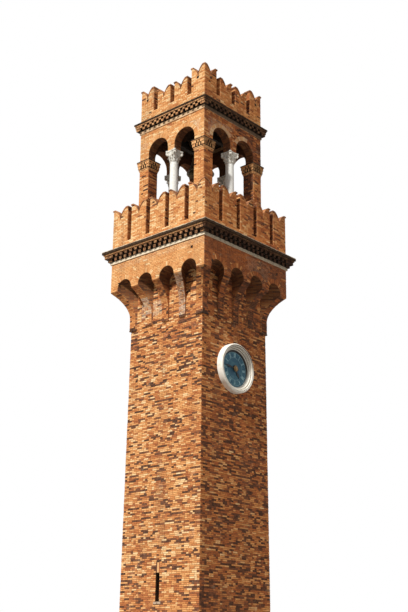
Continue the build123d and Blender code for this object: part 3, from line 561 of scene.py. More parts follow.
# %% Finishes of the model's own nodes
finish_of = {
    "oak": OAK, "hand_iron": HAND_IRON, "wrought_iron": FORGED_IRON, "bell_bronze": BRONZE,
    "dial_paint": DIAL_PAINT, "gilding": GOLD_LEAF, "white_stone": MARBLE, "brick": LIME_BED,
}
special = {
    "lower_string": LIMESTONE, "upper_string": MOULDED_BRICK, "clock_ring": RING_STONE, "merlon_copings": COPING_TILE,
    "pier_foot_ledges": LEDGE_SHADE_TILE, "lower_teeth": LOWER_TEETH, "upper_teeth": UPPER_TEETH,
    "lower_dentils": LOWER_TEETH, "upper_dentils": UPPER_TEETH, "pier_imposts": IMPOST_TEETH,
    "door_surround": LIMESTONE, "slit_sills": SILL_STONE, "column_capitals": CARVED_MARBLE,
    "bell_beams": SMOKED_OAK, **SLABS,
}
for side in ("front", "right", "back", "left"):
    special[f"shaft_wall_{side}"] = EARTH_BED
    special[f"corbel_gallery_{side}"] = CORBEL_PATTERN
    special[f"arcade_wall_{side}"] = ARCADE_PATTERN
slots = {part["node"]: part["material_slot"] for part in frame["record"]["subparts"]}
for name, node in frame["nodes"].items():
    node.data.materials.clear()
    node.data.materials.append(special.get(name) or finish_of[slots[name]])
print("nodes with a finish:", len(slots))

# %% [markdown]
# Every side of the tower is the same drawing turned by a quarter. So a place on a wall is given as three numbers: how
# far along the side, how far out from the tower's axis, and how high. One function turns them into a point.

# %% A place on a side
QUARTERS = {"front": (1, 0), "right": (0, 1), "back": (-1, 0), "left": (0, -1)}
# cosine and sine of each side's turn from the front


def spot(side, along, out, high):
    """Along runs to the right as seen from outside."""
    cosine, sine = QUARTERS[side]
    return Vector((along * cosine + out * sine, along * sine - out * cosine, high))


def show(form, name, body, finish, smooth=False):
    """Turn a finished bmesh into a piece of the tower."""
    bmesh.ops.recalc_face_normals(form, faces=form.faces[:])
    mesh = bpy.data.meshes.new(name)
    form.to_mesh(mesh)
    form.free()
    mesh.materials.append(finish)
    if smooth:
        mesh.shade_smooth()
    piece = bpy.data.objects.new(name, mesh)
    scene.collection.objects.link(piece)
    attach(piece, body)


print("front middle at one metre up:", spot("front", 0, 2, 1)[:])

# %% [markdown]
# A bricklayer sets one course at a time, and so does this script. A brick starts as one flat face of four corners on
# the wall. When a wall is full, a single Extrude Individual raises all its faces at once, and each cap is pushed out
# by its own amount: most stand 11 to 19 mm proud of the joint, and weathered ones hardly at all. Shrinking the caps a
# little gives each brick its worn edges.

# %% A pile of bricks
PROUD = (0.011, 0.019)
WORN_PROUD = (0.003, 0.008)
WORN_SHARE = 0.09
ARRIS = 0.004


class Bricks:
    """Bricks of one piece: flat faces first, raised together at the end."""

    def __init__(self, seed):
        self.form = bmesh.new()
        self.tone = self.form.faces.layers.float.new("tone")
        self.lift = self.form.faces.layers.float.new("lift")
        self.lime = self.form.faces.layers.float.new("lime")
        self.chance = random.Random(seed)

    def add(self, corners, tone, lift=None, lime=0.0):
        face = self.form.faces.new([self.form.verts.new(corner) for corner in corners])
        face[self.tone] = tone
        face[self.lime] = lime
        if lift is None:
            lift = self.chance.uniform(*(WORN_PROUD if self.chance.random() < WORN_SHARE else PROUD))
        face[self.lift] = lift

    def finish(self, name):
        count = len(self.form.faces)
        for cap in bmesh.ops.extrude_discrete_faces(self.form, faces=self.form.faces[:])["faces"]:
            cap.normal_update()
            out = cap.normal * cap[self.lift]
            middle = cap.calc_center_median()
            for corner in cap.verts:
                corner.co += out + (middle - corner.co).normalized() * ARRIS
        bmesh.ops.holes_fill(self.form, edges=self.form.edges[:], sides=0)
        show(self.form, name, "tower", BRICK)
        print(name, "bricks:", count)


# %% [markdown]
# Each part of the walls was built of its own batch of bricks, and is given here as a mood. The shaft is a patchwork,
# with many bricks burnt dark and many as pale as cream, while the upper works are even. The left wall is paler, and the
# front is darker and redder as painted shade, as are the inner faces of the belfry's piers.

# %% Moods of the walls
# the front's low mean is painted shade
SIDE_MEAN = {"left": 0.55, "front": 0.38, "right": 0.52, "back": 0.5}
MOODS = {
    # mean shift, more of it on the front, mostly darker as painted shade, spread, share of burnt bricks, share of pale
    # bricks
    "shaft": (0.0, 0.0, 0.17, 0.15, 0.1),
    "corbel": (-0.05, -0.14, 0.12, 0.07, 0.04),
    "gallery": (0.16, -0.22, 0.055, 0.0, 0.03),
    "crown": (0.17, -0.03, 0.12, 0.02, 0.1),
    "reveal": (-0.05, 0.05, 0.12, 0.1, 0.05),
    "belfry": (0.2, -0.15, 0.1, 0.0, 0.1),
    "pier": (0.04, 0.0, 0.12, 0.05, 0.06),
    # painted shade: the inner faces of the belfry's piers are dark
    "pier inside": (-0.2, 0.0, 0.1, 0.3, 0.03),
    "arch": (0.16, -0.16, 0.08, 0.0, 0.08),
    "pale arch": (0.42, 0.0, 0.1, 0.0, 0.1),
}
print("the front wall is redder than the left by", round(SIDE_MEAN["left"] - SIDE_MEAN["front"], 2))

# %% [markdown]
# Time has left its marks in some places, and shade is painted in others. In some patches the tone of the bricks is
# lowered: under the string of the left belfry wall and at the feet of the corbel piers this is painted shade, and
# elsewhere the bricks are only darker. Old lime plaster clings to the bricks in other patches. Each patch is a
# rectangle on one kind of wall, and the edge between laid bricks makes it ragged. Below the clock a stain fades
# downwards.

# %% Patches of soot and lime
PIER_FOOT_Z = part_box("pier_foot_ledges")[1].z
# side, kind of wall, along from and to, height from and to, and how much the tone is lowered there
DARK_PATCHES = [
    ("front", "belfry", 0.1, 2.2, 23.5, 25.0, 0.24),
    ("front", "arch", 0.9, 2.2, 23.5, 25.0, 0.1),
    ("front", "gallery", 0.3, 2.8, 16.9, 18.4, 0.05),
    # painted shadow under the string
    ("left", "belfry", -2.1, 2.1, 24.72, 25.0, 0.12),
    # painted shade at the feet of the corbel piers, on both sides
    ("left", "corbel", -2.3, 2.3, PIER_FOOT_Z, PIER_FOOT_Z + COURSE, 0.35),
    ("front", "corbel", -2.3, 2.3, PIER_FOOT_Z, PIER_FOOT_Z + COURSE, 0.3),
]
# the same, and how much lime plaster is left on the bricks
LIME_PATCHES = [
    ("left", "corbel", -1.5, -0.5, 15.75, 16.5, 0.6),
    ("left", "shaft", -1.5, -0.1, 15.6, 16.3, 0.45),
    ("left", "corbel", 0.75, 1.5, 15.3, 17.0, 0.6),
    ("left", "gallery", -2.8, 2.8, 17.95, 18.35, 0.15),
    ("front", "corbel", 0.2, 0.75, 16.7, 17.0, 0.5),
    ("front", "belfry", -1.7, -0.1, 23.7, 24.65, 0.3),
    ("left", "belfry", 1.0, 1.75, 23.9, 24.5, 0.35),
    ("left", "belfry", -1.9, -0.3, 24.1, 24.4, 0.25),
    ("front", "gallery", 0.0, 1.6, 17.3, 18.2, 0.15),
]
STAIN_LENGTH, STAIN_HALF, STAIN = 1.9, 0.55, 0.16


def patch_at(patches, side, mood, along, high):
    """Strength of the patch that a brick lies in, or 0."""
    return max((strength for where, kind, left, right, low, top, strength in patches
                if (where, kind) == (side, mood) and left < along < right and low < high < top), default=0.0)


def stain_below_clock(side, place):
    below = clock_middle.z - ring_radius - place.z
    if side != "front" or not 0 < below < STAIN_LENGTH or abs(place.x - clock_middle.x) > STAIN_HALF:
        return 0
    return STAIN * (1 - below / STAIN_LENGTH)


print("darker patches and patches of lime:", len(DARK_PATCHES), len(LIME_PATCHES))

# %% [markdown]
# The tone of a brick is chance around a mean, and the mean drifts from place to place, because a cartload of bricks
# comes from one firing. Burnt bricks lie in runs along a course, because they came out of the kiln together: a noise
# that changes quickly from course to course, and slowly along it, says where.

# %% Which tone a brick gets
DRIFTS = ((0.16, 0.45), (0.1, 1.7))
# how strong each drift is, and how quickly it changes
RUN_ALONG, RUN_PER_COURSE, RUN_LEAST = 1.1, 0.8, 0.28
BURNT_RUN, BURNT_ELSEWHERE = 3.4, 0.55
BURNT_TONES, PALER_BY, LEAST_TONE, MOST_TONE = (0.03, 0.2), (0.2, 0.45), 0.06, 0.98


def tone_at(chance, side, place, mood):
    shift, front_shade_shift, spread, burnt, pale = MOODS[mood]
    # painted shade: the front is darker still
    shift += front_shade_shift * (side == "front")
    drift = sum(strength * noise.noise(place * scale) for strength, scale in DRIFTS)
    mean = SIDE_MEAN[side] + shift + drift * min(spread * 8, 1)
    along = place.x if side == "front" else -place.y
    mean -= stain_below_clock(side, place) + patch_at(DARK_PATCHES, side, mood, along, place.z)
    run = noise.noise(Vector((place.x * RUN_ALONG, place.y * RUN_ALONG, place.z / COURSE * RUN_PER_COURSE)))
    burnt *= BURNT_RUN if run > RUN_LEAST else BURNT_ELSEWHERE
    luck = chance.random()
    if luck < burnt:
        return chance.uniform(*BURNT_TONES)
    if luck > 1 - pale:
        return min(mean + chance.uniform(*PALER_BY), 1.0)
    return min(max(chance.gauss(mean, spread), LEAST_TONE), MOST_TONE)


print("tone of a brick of the left wall:", round(tone_at(random.Random(1), "left", Vector((-2, 0, 5)), "shaft"), 2))

# %% [markdown]
# A course is laid over a stretch of wall by picking stretchers and headers until the stretch is used up. Where an arch
# or a notch cuts the wall, the stretch ends at one place on the brick's lower edge and another on its upper edge, so
# the last brick is cut to the curve as a mason would cut it.

# %% Lay courses
HEADER_SHARE, UNEVEN = 0.42, (0.96, 1.04)
SHORTEST_END, SHORTEST_STRETCH, NARROWEST, LOWEST = 0.07, 0.05, 0.008, 0.015


def brick_joints(chance, start, end, course):
    """Places of the joints along a stretch, in a loose bond of stretchers and headers."""
    places = [start]
    here = start + (HEADER if course % 2 else STRETCHER)
    while here < end - SHORTEST_END:
        places.append(here)
        here += HEADER if chance.random() < HEADER_SHARE else STRETCHER * chance.uniform(*UNEVEN)
    return places + [end]


def corners_of(put, left, right, low, high):
    return [put(left, low), put(right, low), put(right, high), put(left, high)]


def lay_course(bricks, side, mood, course, low, high, stretches_low, stretches_high, put):
    """Lay one course between two heights. Put turns a place along the course and a height into a point."""
    for (low_start, low_end), (high_start, high_end) in zip(stretches_low, stretches_high):
        start, end = (low_start + high_start) / 2, (low_end + high_end) / 2
        if end - start < SHORTEST_STRETCH:
            continue
        joints = brick_joints(bricks.chance, start, end, course)
        for index in range(len(joints) - 1):
            left, right = joints[index] + JOINT / 2, joints[index + 1] - JOINT / 2
            left_low, left_high, right_low, right_high = left, left, right, right
            if index == 0:
                left_low, left_high = low_start + JOINT / 2, high_start + JOINT / 2
            if index == len(joints) - 2:
                right_low, right_high = low_end - JOINT / 2, high_end - JOINT / 2
            if min(right_low - left_low, right_high - left_high) < NARROWEST:
                continue
            corners = [put(left_low, low), put(right_low, low), put(right_high, high), put(left_high, high)]
            bricks.add(corners, tone_at(bricks.chance, side, corners[0], mood),
                       lime=patch_at(LIME_PATCHES, side, mood, (left + right) / 2, low))


def lay_wall(bricks, side, mood, bottom, top, stretches, put):
    """Lay courses from bottom to top. Stretches is a list, or a function that gives the list at a height."""
    at = stretches if callable(stretches) else lambda high: stretches
    for course in range(int(bottom / COURSE), math.ceil(top / COURSE)):
        low = max(course * COURSE, bottom) + JOINT / 2
        high = min((course + 1) * COURSE, top) - JOINT / 2
        if high - low < LOWEST:
            continue
        at_low, at_high = at(low), at(high)
        if len(at_low) != len(at_high):
            at_low = at_high = at((low + high) / 2)
        lay_course(bricks, side, mood, course, low, high, at_low, at_high, put)


print("mean length of a brick:", round(HEADER_SHARE * HEADER + (1 - HEADER_SHARE) * STRETCHER, 3))

# %% [markdown]
# Most walls look outwards, and the reveals of openings look along the side. An opening cuts a gap out of the stretches
# of a wall. The gap is straight, round, or an arch that stands on upright sides.

# %% Walls and their openings


def flat(side, out):
    """Put for an upright wall that looks outwards."""
    return lambda along, high: spot(side, along, out, high)


def reveal(side, along, inside, outside, outwards):
    """Put for an upright wall that looks along the side. Its courses run outwards or inwards."""
    return lambda out, high: spot(side, along, out if outwards else inside + outside - out, high)


def without(stretches, start, end):
    """Cut a gap out of a list of stretches."""
    left = []
    for low, high in stretches:
        if end <= low or start >= high:
            left.append((low, high))
            continue
        if start > low:
            left.append((low, start))
        if end < high:
            left.append((end, high))
    return left


def round_gap(stretches, middle, radius, rise):
    """Cut out a circle, met at a height above or below its middle."""
    if abs(rise) >= radius:
        return stretches
    half = math.sqrt(radius * radius - rise * rise)
    return without(stretches, middle - half, middle + half)


def arch_gap(stretches, middle, radius, spring, high, ring=0.0):
    """Cut out an arched opening, and above its springing the ring of bricks round it."""
    if high < spring:
        return without(stretches, middle - radius, middle + radius)
    return round_gap(stretches, middle, radius + ring, high - spring)


print("a wall of four metres with a gap of one:", without([(-2.0, 2.0)], -0.5, 0.5))

# %% [markdown]
# The shaft leans in by about 9 cm on each side over its height. Its bricks stop at the clock, the slits and the
# doorway, and above the shaft proper they go on between the piers of the corbel table. At the corners the courses
# take turns at covering the end of the neighbouring wall.

# %% Shaft bricks
shaft_base_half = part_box("shaft_wall_front")[1].x
SHAFT_TOP_HALF = 2.1
ARCHES, ARCH_PITCH, ARCH_RADIUS, INNER_PITCH, INNER_RADIUS = 4, 1.292, 0.43, 0.97, 0.3
COVE_BOTTOM_Z, COVE_TOP_Z, ARCH_SPRING_Z = PIER_FOOT_Z + 0.53, PIER_FOOT_Z + 1.74, PIER_FOOT_Z + 1.77
SLIT_ALONG, SLIT_HALF, SLIT_BOTTOM, SLIT_TOP, SLIT_INFILL_TOP = -0.063, 0.1, 3.645, 4.75, 5.15
SLIT_INFILL, INFILL_PROUD = ((-1.0, -0.45, 0.15), (-0.35, 0.5, 0.8), (0.6, 1.0, 0.3)), 0.008
# from and to as shares of the slit's half width, and tone
SILL_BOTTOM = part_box("slit_sills")[0].z
DOOR_HALF, DOOR_SPRING_Z = 0.73, 1.87
CORNER_LAP, RING_MARGIN = 0.014, 0.004


def shaft_half(high):
    return shaft_base_half + (SHAFT_TOP_HALF - shaft_base_half) * min(high / PIER_FOOT_Z, 1.0)


def channels(out):
    """Middles and half width of the spaces between the piers, at a distance from the axis."""
    share = (out - SHAFT_TOP_HALF) / (GALLERY_HALF - SHAFT_TOP_HALF)
    pitch = INNER_PITCH + share * (ARCH_PITCH - INNER_PITCH)
    radius = INNER_RADIUS + share * (ARCH_RADIUS - INNER_RADIUS)
    return [(index - (ARCHES - 1) / 2) * pitch for index in range(ARCHES)], radius


def shaft_stretches(side, high):
    half = shaft_half(high)
    if high > PIER_FOOT_Z:
        middles, radius = channels(SHAFT_TOP_HALF)
        rise = max(high - ARCH_SPRING_Z, 0)
        if rise >= radius:
            return []
        half = math.sqrt(radius * radius - rise * rise)
        return [(middle - half, middle + half) for middle in middles]
    half += CORNER_LAP * (int(high / COURSE) % 2 == (side in ("front", "back")))
    stretches = [(-half, half)]
    if side == "front":
        return round_gap(stretches, clock_middle.x, ring_radius + RING_MARGIN, high - clock_middle.z)
    if side == "back":
        return arch_gap(stretches, 0, DOOR_HALF, DOOR_SPRING_Z, high)
    if SLIT_BOTTOM <= high <= SLIT_INFILL_TOP:
        return without(stretches, SLIT_ALONG - SLIT_HALF, SLIT_ALONG + SLIT_HALF)
    if SILL_BOTTOM < high < SLIT_BOTTOM:
        return without(stretches, SLIT_ALONG - 2 * SLIT_HALF, SLIT_ALONG + 2 * SLIT_HALF)
    return stretches


for number, side in enumerate(QUARTERS):
    bricks = Bricks(100 + number)
    lay_wall(
        bricks, side, "shaft", 0.0, ARCH_SPRING_Z + INNER_RADIUS, lambda high: shaft_stretches(side, high),
        lambda along, high: spot(side, along, shaft_half(high), high))
    if side in ("left", "right"):
        # the slit was once taller: its head is closed by a pale stretcher on end between two thin dark ones
        for left, right, tone in SLIT_INFILL:
            bricks.add(corners_of(
                lambda share, high: spot(side, SLIT_ALONG + share * SLIT_HALF, shaft_half(high), high),
                left, right, SLIT_TOP + JOINT, SLIT_INFILL_TOP), tone, INFILL_PROUD)
    bricks.finish(f"shaft_bricks_{side}")

# %% [markdown]
# The piers of the corbel table curve outwards like a cove. Their courses follow the curve, so a row is a step along
# the curve instead of a step up.

# %% Cove of the corbel piers
PIER_FACE = SHAFT_TOP_HALF + 0.062
COVE_PLUMB, COVE_ROWS = 0.6, 20


def pier_stretches(out):
    middles, radius = channels(out)
    edges = [-out] + [edge for middle in middles for edge in (middle - radius, middle + radius)] + [out]
    return list(zip(edges[::2], edges[1::2]))


def cove_point(share):
    """Distance from the axis and height of a point on the cove, a curve that starts out plumb."""
    start, bend, end = (
        (PIER_FACE, COVE_BOTTOM_Z), (PIER_FACE, COVE_BOTTOM_Z + COVE_PLUMB), (GALLERY_HALF, COVE_TOP_Z))
    weights = (1 - share) ** 2, 2 * share * (1 - share), share ** 2
    return tuple(sum(weight * point[axis] for weight, point in zip(weights, (start, bend, end))) for axis in (0, 1))


def lay_cove(bricks, side):
    for row in range(COVE_ROWS):
        (low_out, low), (high_out, high) = cove_point(row / COVE_ROWS), cove_point((row + 1) / COVE_ROWS)
        drift = Vector((high_out - low_out, high - low)).normalized() * JOINT / 2
        low_out, low, high_out, high = low_out + drift.x, low + drift.y, high_out - drift.x, high - drift.y
        slope = (high_out - low_out) / (high - low)
        lay_course(
            bricks, side, "corbel", row, low, high, pier_stretches(low_out), pier_stretches(high_out),
            lambda along, at: spot(side, along, low_out + slope * (at - low), at))


print("the cove reaches out by", round(cove_point(1)[0] - cove_point(0)[0], 3))

# %% [markdown]
# Above the piers stands a plain wall on round arches. Each arch has a ring of bricks set on edge, pointing at its
# middle. Such a ring stands a little prouder than the wall, and its bricks are laid one by one round the half circle.

# %% Arches and walls of the corbel table
VOUSSOIR, ARCH_PROUD, ARCH_MARGIN, PALE_ARCH_LIME = 0.205, (0.016, 0.023), 0.002, 0.5
gallery_top_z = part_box("lower_string")[0].z


def lay_arch(bricks, side, middle, spring, radius, out, depth=VOUSSOIR, pale=(0, 0)):
    """A ring of bricks on edge round an arch, of pale brick between two angles."""
    count = round(math.pi * (radius + depth / 2) / COURSE)
    for number in range(count):
        start = math.pi * number / count + JOINT / 2 / radius
        end = math.pi * (number + 1) / count - JOINT / 2 / radius
        corners = corners_of(
            lambda reach, angle: spot(side, middle + reach * math.cos(angle), out, spring + reach * math.sin(angle)),
            radius + ARCH_MARGIN, radius + depth, start, end)
        is_pale = pale[0] <= math.degrees(start) < pale[1]
        bricks.add(corners, tone_at(bricks.chance, side, corners[0], "pale arch" if is_pale else "arch"),
                   bricks.chance.uniform(*ARCH_PROUD), PALE_ARCH_LIME * is_pale)


def gallery_stretches(high):
    stretches = [(-GALLERY_HALF, GALLERY_HALF)]
    for middle in channels(GALLERY_HALF)[0]:
        stretches = arch_gap(stretches, middle, ARCH_RADIUS, ARCH_SPRING_Z, high, VOUSSOIR)
    return stretches


for number, side in enumerate(QUARTERS):
    bricks = Bricks(200 + number)
    lay_wall(bricks, side, "corbel", PIER_FOOT_Z, COVE_BOTTOM_Z, pier_stretches(PIER_FACE), flat(side, PIER_FACE))
    lay_cove(bricks, side)
    lay_wall(bricks, side, "gallery", COVE_TOP_Z, gallery_top_z, gallery_stretches, flat(side, GALLERY_HALF))
    for middle in channels(GALLERY_HALF)[0]:
        lay_arch(bricks, side, middle, ARCH_SPRING_Z, ARCH_RADIUS, GALLERY_HALF)
    bricks.finish(f"corbel_bricks_{side}")

# %% [markdown]
# Both crowns have merlons with a notch cut in their heads, like a swallow's tail. The notch narrows downwards between
# two curves that bulge into it. Each curve is a parabola between the foot of the notch and the tip of a horn.

# %% Shape of the crowns


class Crown:
    """Sizes of one crown, read from the model where a box gives them."""

    def __init__(self, name, sill, merlons, gap, middle, corner):
        low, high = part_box(f"{name}_parapet_front")
        self.half = high.x
        self.inside = -high.y
        self.base = low.z
        self.sill = low.z + sill
        self.merlons = merlons
        self.gap = gap
        self.heads = {"middle": middle, "corner": corner}
        self.width = (2 * self.half - (merlons - 1) * gap) / merlons

    def middle_of(self, number):
        return -self.half + self.width / 2 + number * (self.width + self.gap)

    def head(self, number):
        """Levels of the notch and the horns of a merlon, below its coping."""
        notch, horn = self.heads["corner" if number in (0, self.merlons - 1) else "middle"]
        return self.sill + notch - COPING, self.sill + horn - COPING


COPING, HORN_FLAT, NOTCH_BULGE = 0.065, 0.12, 0.195


def notch_half(width, notch, horn, high):
    """Half width of the notch at a height."""
    reach, drop = width / 2 - HORN_FLAT, horn - notch
    length = math.hypot(reach, drop)
    bulge = 4 * NOTCH_BULGE * reach
    a, b, c = -bulge * reach / length, drop + bulge * reach / length, notch - high
    share = (-b + math.sqrt(b * b - 4 * a * c)) / (2 * a)
    return share * reach - bulge * share * (1 - share) * drop / length


lower_crown = Crown("lower", sill=0.345, merlons=5, gap=0.252, middle=(1.25, 1.73), corner=(1.25, 1.73))
upper_crown = Crown("upper", sill=0.52, merlons=4, gap=0.267, middle=(0.525, 0.99), corner=(0.8, 1.28))
print("widths of the merlons:", round(lower_crown.width, 3), round(upper_crown.width, 3))

# %% [markdown]
# Bricks cover the outside of a crown, its inside and the reveals between its merlons. The inside is the outside laid
# the other way round, so that its bricks face inwards.

# %% Crowns of merlons


def crown_stretches(crown, high, limit):
    if high < crown.sill:
        return [(-limit, limit)]
    stretches = []
    for number in range(crown.merlons):
        middle = crown.middle_of(number)
        notch, horn = crown.head(number)
        left, right = max(middle - crown.width / 2, -limit), min(middle + crown.width / 2, limit)
        if high >= horn:
            continue
        if high <= notch:
            stretches.append((left, right))
            continue
        half = notch_half(crown.width, notch, horn, high)
        stretches += [(left, middle - half), (middle + half, right)]
    return [pair for pair in stretches if pair[1] > pair[0]]


def lay_crown(bricks, side, crown):
    top = max(crown.head(0)[1], crown.head(1)[1])
    lay_wall(bricks, side, "crown", crown.base, top, lambda high: crown_stretches(crown, high, crown.half),
             flat(side, crown.half))
    lay_wall(bricks, side, "crown", crown.base, top, lambda high: crown_stretches(crown, high, crown.inside),
             lambda along, high: spot(side, -along, crown.inside, high))
    for number in range(crown.merlons - 1):
        for merlon, way in ((number, 1), (number + 1, -1)):
            edge = crown.middle_of(merlon) + way * crown.width / 2
            lay_wall(bricks, side, "reveal", crown.sill, crown.head(merlon)[1], [(crown.inside, crown.half)],
                     reveal(side, edge, crown.inside, crown.half, way < 0))


for number, side in enumerate(QUARTERS):
    for crown, name in ((lower_crown, "lower"), (upper_crown, "upper")):
        bricks = Bricks(300 + number + 10 * (name == "upper"))
        lay_crown(bricks, side, crown)
        bricks.finish(f"{name}_crown_bricks_{side}")

# %% [markdown]
# The belfry has a plinth wall, four corner piers, and above them a wall with two stilted arches on each side. The
# piers are laid on all the faces that show, and the arches get rings of bricks on edge.

# %% Belfry bricks
PIER_INNER = BELFRY_HALF - 0.574
plinth_low, plinth_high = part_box("belfry_plinth")
arcade_low, arcade_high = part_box("arcade_wall_front")
BELFRY_ARCH_ALONG, BELFRY_ARCH_RADIUS = 0.82, 0.615
belfry_spring_z = arcade_low.z + 0.27
BELFRY_VOUSSOIR = 0.2
PALE_PARTS = {("front", -1): (35, 180), ("front", 1): (75, 155)}
# degrees between which the ring of an arch is of pale brick


def arcade_stretches(high):
    stretches = [(-BELFRY_HALF, BELFRY_HALF)]
    for middle in (-BELFRY_ARCH_ALONG, BELFRY_ARCH_ALONG):
        stretches = arch_gap(stretches, middle, BELFRY_ARCH_RADIUS, belfry_spring_z, high, BELFRY_VOUSSOIR)
    return stretches


for number, side in enumerate(QUARTERS):
    bricks = Bricks(400 + number)
    face = flat(side, BELFRY_HALF)
    lay_wall(bricks, side, "pier", plinth_low.z, plinth_high.z, [(-BELFRY_HALF, BELFRY_HALF)], face)
    lay_wall(bricks, side, "pier", plinth_high.z, impost_low.z,
             [(-BELFRY_HALF, -PIER_INNER), (PIER_INNER, BELFRY_HALF)], face)
    for way in (-1, 1):
        lay_wall(bricks, side, "pier inside", plinth_high.z, impost_low.z, [(PIER_INNER, BELFRY_HALF)],
                 reveal(side, way * PIER_INNER, PIER_INNER, BELFRY_HALF, way > 0))
        lay_arch(bricks, side, way * BELFRY_ARCH_ALONG, belfry_spring_z, BELFRY_ARCH_RADIUS, BELFRY_HALF,
                 BELFRY_VOUSSOIR, PALE_PARTS.get((side, way), (0, 0)))
    lay_wall(bricks, side, "belfry", arcade_low.z, arcade_high.z, arcade_stretches, face)
    bricks.finish(f"belfry_bricks_{side}")

# %% [markdown]
# The small things come last. Most of them are blocks and rings: a block is a cube brought to its size and place, and
# a ring is a small circle spun about a middle.

# %% Blocks and rings


def block(form, middle, size, turn=Matrix.Identity(4)):
    """A cube of a width, depth and height."""
    return bmesh.ops.create_cube(
        form, size=1.0, matrix=Matrix.Translation(middle) @ turn @ Matrix.Diagonal((*size, 1)))["verts"]


def edges_of(verts):
    return list({edge for vert in verts for edge in vert.link_edges})


def spin_ring(form, middle, reach, radius, segments, steps):
    """Spin a small circle round a middle, in an upright ring that looks to the front."""
    place = Matrix.Translation(middle + Vector((reach, 0, 0)))
    circle = bmesh.ops.create_circle(form, segments=segments, radius=radius, matrix=place)["verts"]
    bmesh.ops.spin(form, geom=circle + edges_of(circle), cent=middle, axis=(0, 1, 0), angle=2 * math.pi, steps=steps,
                   use_merge=True)


print("blocks and rings ready")

# %% [markdown]
# The dial gets its hour figures, painted in strokes. Each figure is a row of upright and slanting bars, and each bar
# is one block, leaned over and turned to its hour. Two thin rings mark the minutes.

# %% Hour figures and minute rings
STROKES = {"I": [(0.0, 0.0)], "V": [(-0.028, 0.0), (0.028, 0.0)], "X": [(-0.03, 0.03), (0.03, -0.03)]}
# each stroke is the place of its outer end and of its inner end
WIDTHS = {"I": 0.034, "V": 0.07, "X": 0.072}
FIGURES = ("XII", "I", "II", "III", "IIII", "V", "VI", "VII", "VIII", "IX", "X", "XI")
FIGURE_RADIUS, FIGURE_HEIGHT, STROKE = 0.6, 0.19, 0.021
PAINT, CROSSING = 0.008, 0.004
# how far a stroke stands off the dial, and how much more where it crosses another one
MINUTE_RINGS, MINUTE_LINE = (0.485, 0.715), 0.006
dial_face = Vector((clock_middle.x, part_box("clock_dial")[0].y, clock_middle.z))

form = bmesh.new()
for hour, figure in enumerate(FIGURES):
    turn = Matrix.Rotation(math.radians(30 * hour), 4, "Y")
    here = -sum(WIDTHS[letter] for letter in figure) / 2
    for letter in figure:
        here += WIDTHS[letter] / 2
        for order, (outer, inner) in enumerate(STROKES[letter]):
            lean = Matrix.Identity(4)
            lean[0][2] = (outer - inner) / FIGURE_HEIGHT
            lean[0][3] = here + (outer + inner) / 2
            lean[2][3] = FIGURE_RADIUS
            block(form, dial_face, (STROKE, PAINT + CROSSING * order, FIGURE_HEIGHT), turn @ lean)
        here += WIDTHS[letter] / 2
for radius in MINUTE_RINGS:
    spin_ring(form, dial_face, radius, MINUTE_LINE, 4, 72)
show(form, "hour_figures", "tower", NUMERAL_PAINT)
print("strokes on the dial:", sum(len(STROKES[letter]) for figure in FIGURES for letter in figure))

# %% [markdown]
# Between its crest and its lip the ring round the clock is turned with two rolls. A roll is spun like the rings of the
# minutes, from a larger circle that is sunk by a third in the hollow of the ring.

# %% Rolls of the clock's ring
RING_CREST, RING_LIP, RING_DROP = 1.0, 0.865, 0.125
# radius of the crest and of the lip, and how much nearer to the wall the lip is
ROLLS = ((0.96, 0.026), (0.89, 0.022))

form = bmesh.new()
for reach, radius in ROLLS:
    depth = RING_DROP * (RING_CREST - reach) / (RING_CREST - RING_LIP)
    spin_ring(form, Vector((clock_middle.x, clock_low.y + depth, clock_middle.z)), reach, radius, 10, 96)
show(form, "ring_rolls", "tower", RING_STONE, smooth=True)
print("rolls on the ring:", len(ROLLS))

# %% [markdown]
# Each capital has two rows of leaves. A leaf is a small grid, bent so that it rises along the basket and curls
# outwards at its tip, narrowed towards the tip, ribbed down the middle, and then given a thickness.

# %% Leaves of the capitals
LEAF_ROWS = ((0.045, 0.2, 0.205, 0.0), (0.16, 0.2, 0.222, 22.5))
# bottom above the neck, height, distance from the column's axis, turn in degrees
LEAVES = 8
LEAF_WIDTH, LEAF_TAPER, LEAF_CURL, LEAF_DROOP, DROOP_FROM = 0.13, 0.75, 0.075, 0.05, 0.8
LEAF_RIB, LEAF_LEAN, LEAF_THICKNESS = 0.03, 0.03, 0.014
neck_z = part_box("column_capitals")[0].z
column_out = BELFRY_HALF - 0.21

form = bmesh.new()
for side in QUARTERS:
    axis = spot(side, 0, column_out, neck_z)
    for bottom, height, reach, turn in LEAF_ROWS:
        for number in range(LEAVES):
            leaf = bmesh.ops.create_grid(form, x_segments=4, y_segments=7, size=0.5)["verts"]
            for vert in leaf:
                across, share = vert.co.x, vert.co.y + 0.5
                width = LEAF_WIDTH * (1 - LEAF_TAPER * share ** 3)
                out = reach + LEAF_CURL * share ** 4 - LEAF_RIB * abs(across) + LEAF_LEAN * share
                droop = LEAF_DROOP * max(share - DROOP_FROM, 0) / (1 - DROOP_FROM)
                vert.co = Vector((across * width, -out, bottom + height * share - droop))
            turned = Matrix.Rotation(math.radians(360 / LEAVES * number + turn), 4, "Z")
            bmesh.ops.transform(form, matrix=Matrix.Translation(axis) @ turned, verts=leaf)
bmesh.ops.recalc_face_normals(form, faces=form.faces[:])
bmesh.ops.solidify(form, geom=form.faces[:], thickness=LEAF_THICKNESS)
show(form, "capital_leaves", "tower", CARVED_MARBLE, smooth=True)
print("leaves:", len(QUARTERS) * LEAVES * len(LEAF_ROWS))

# %% [markdown]
# The door in the back wall is made of upright boards, held by two iron straps with studs, and has a ring to pull.

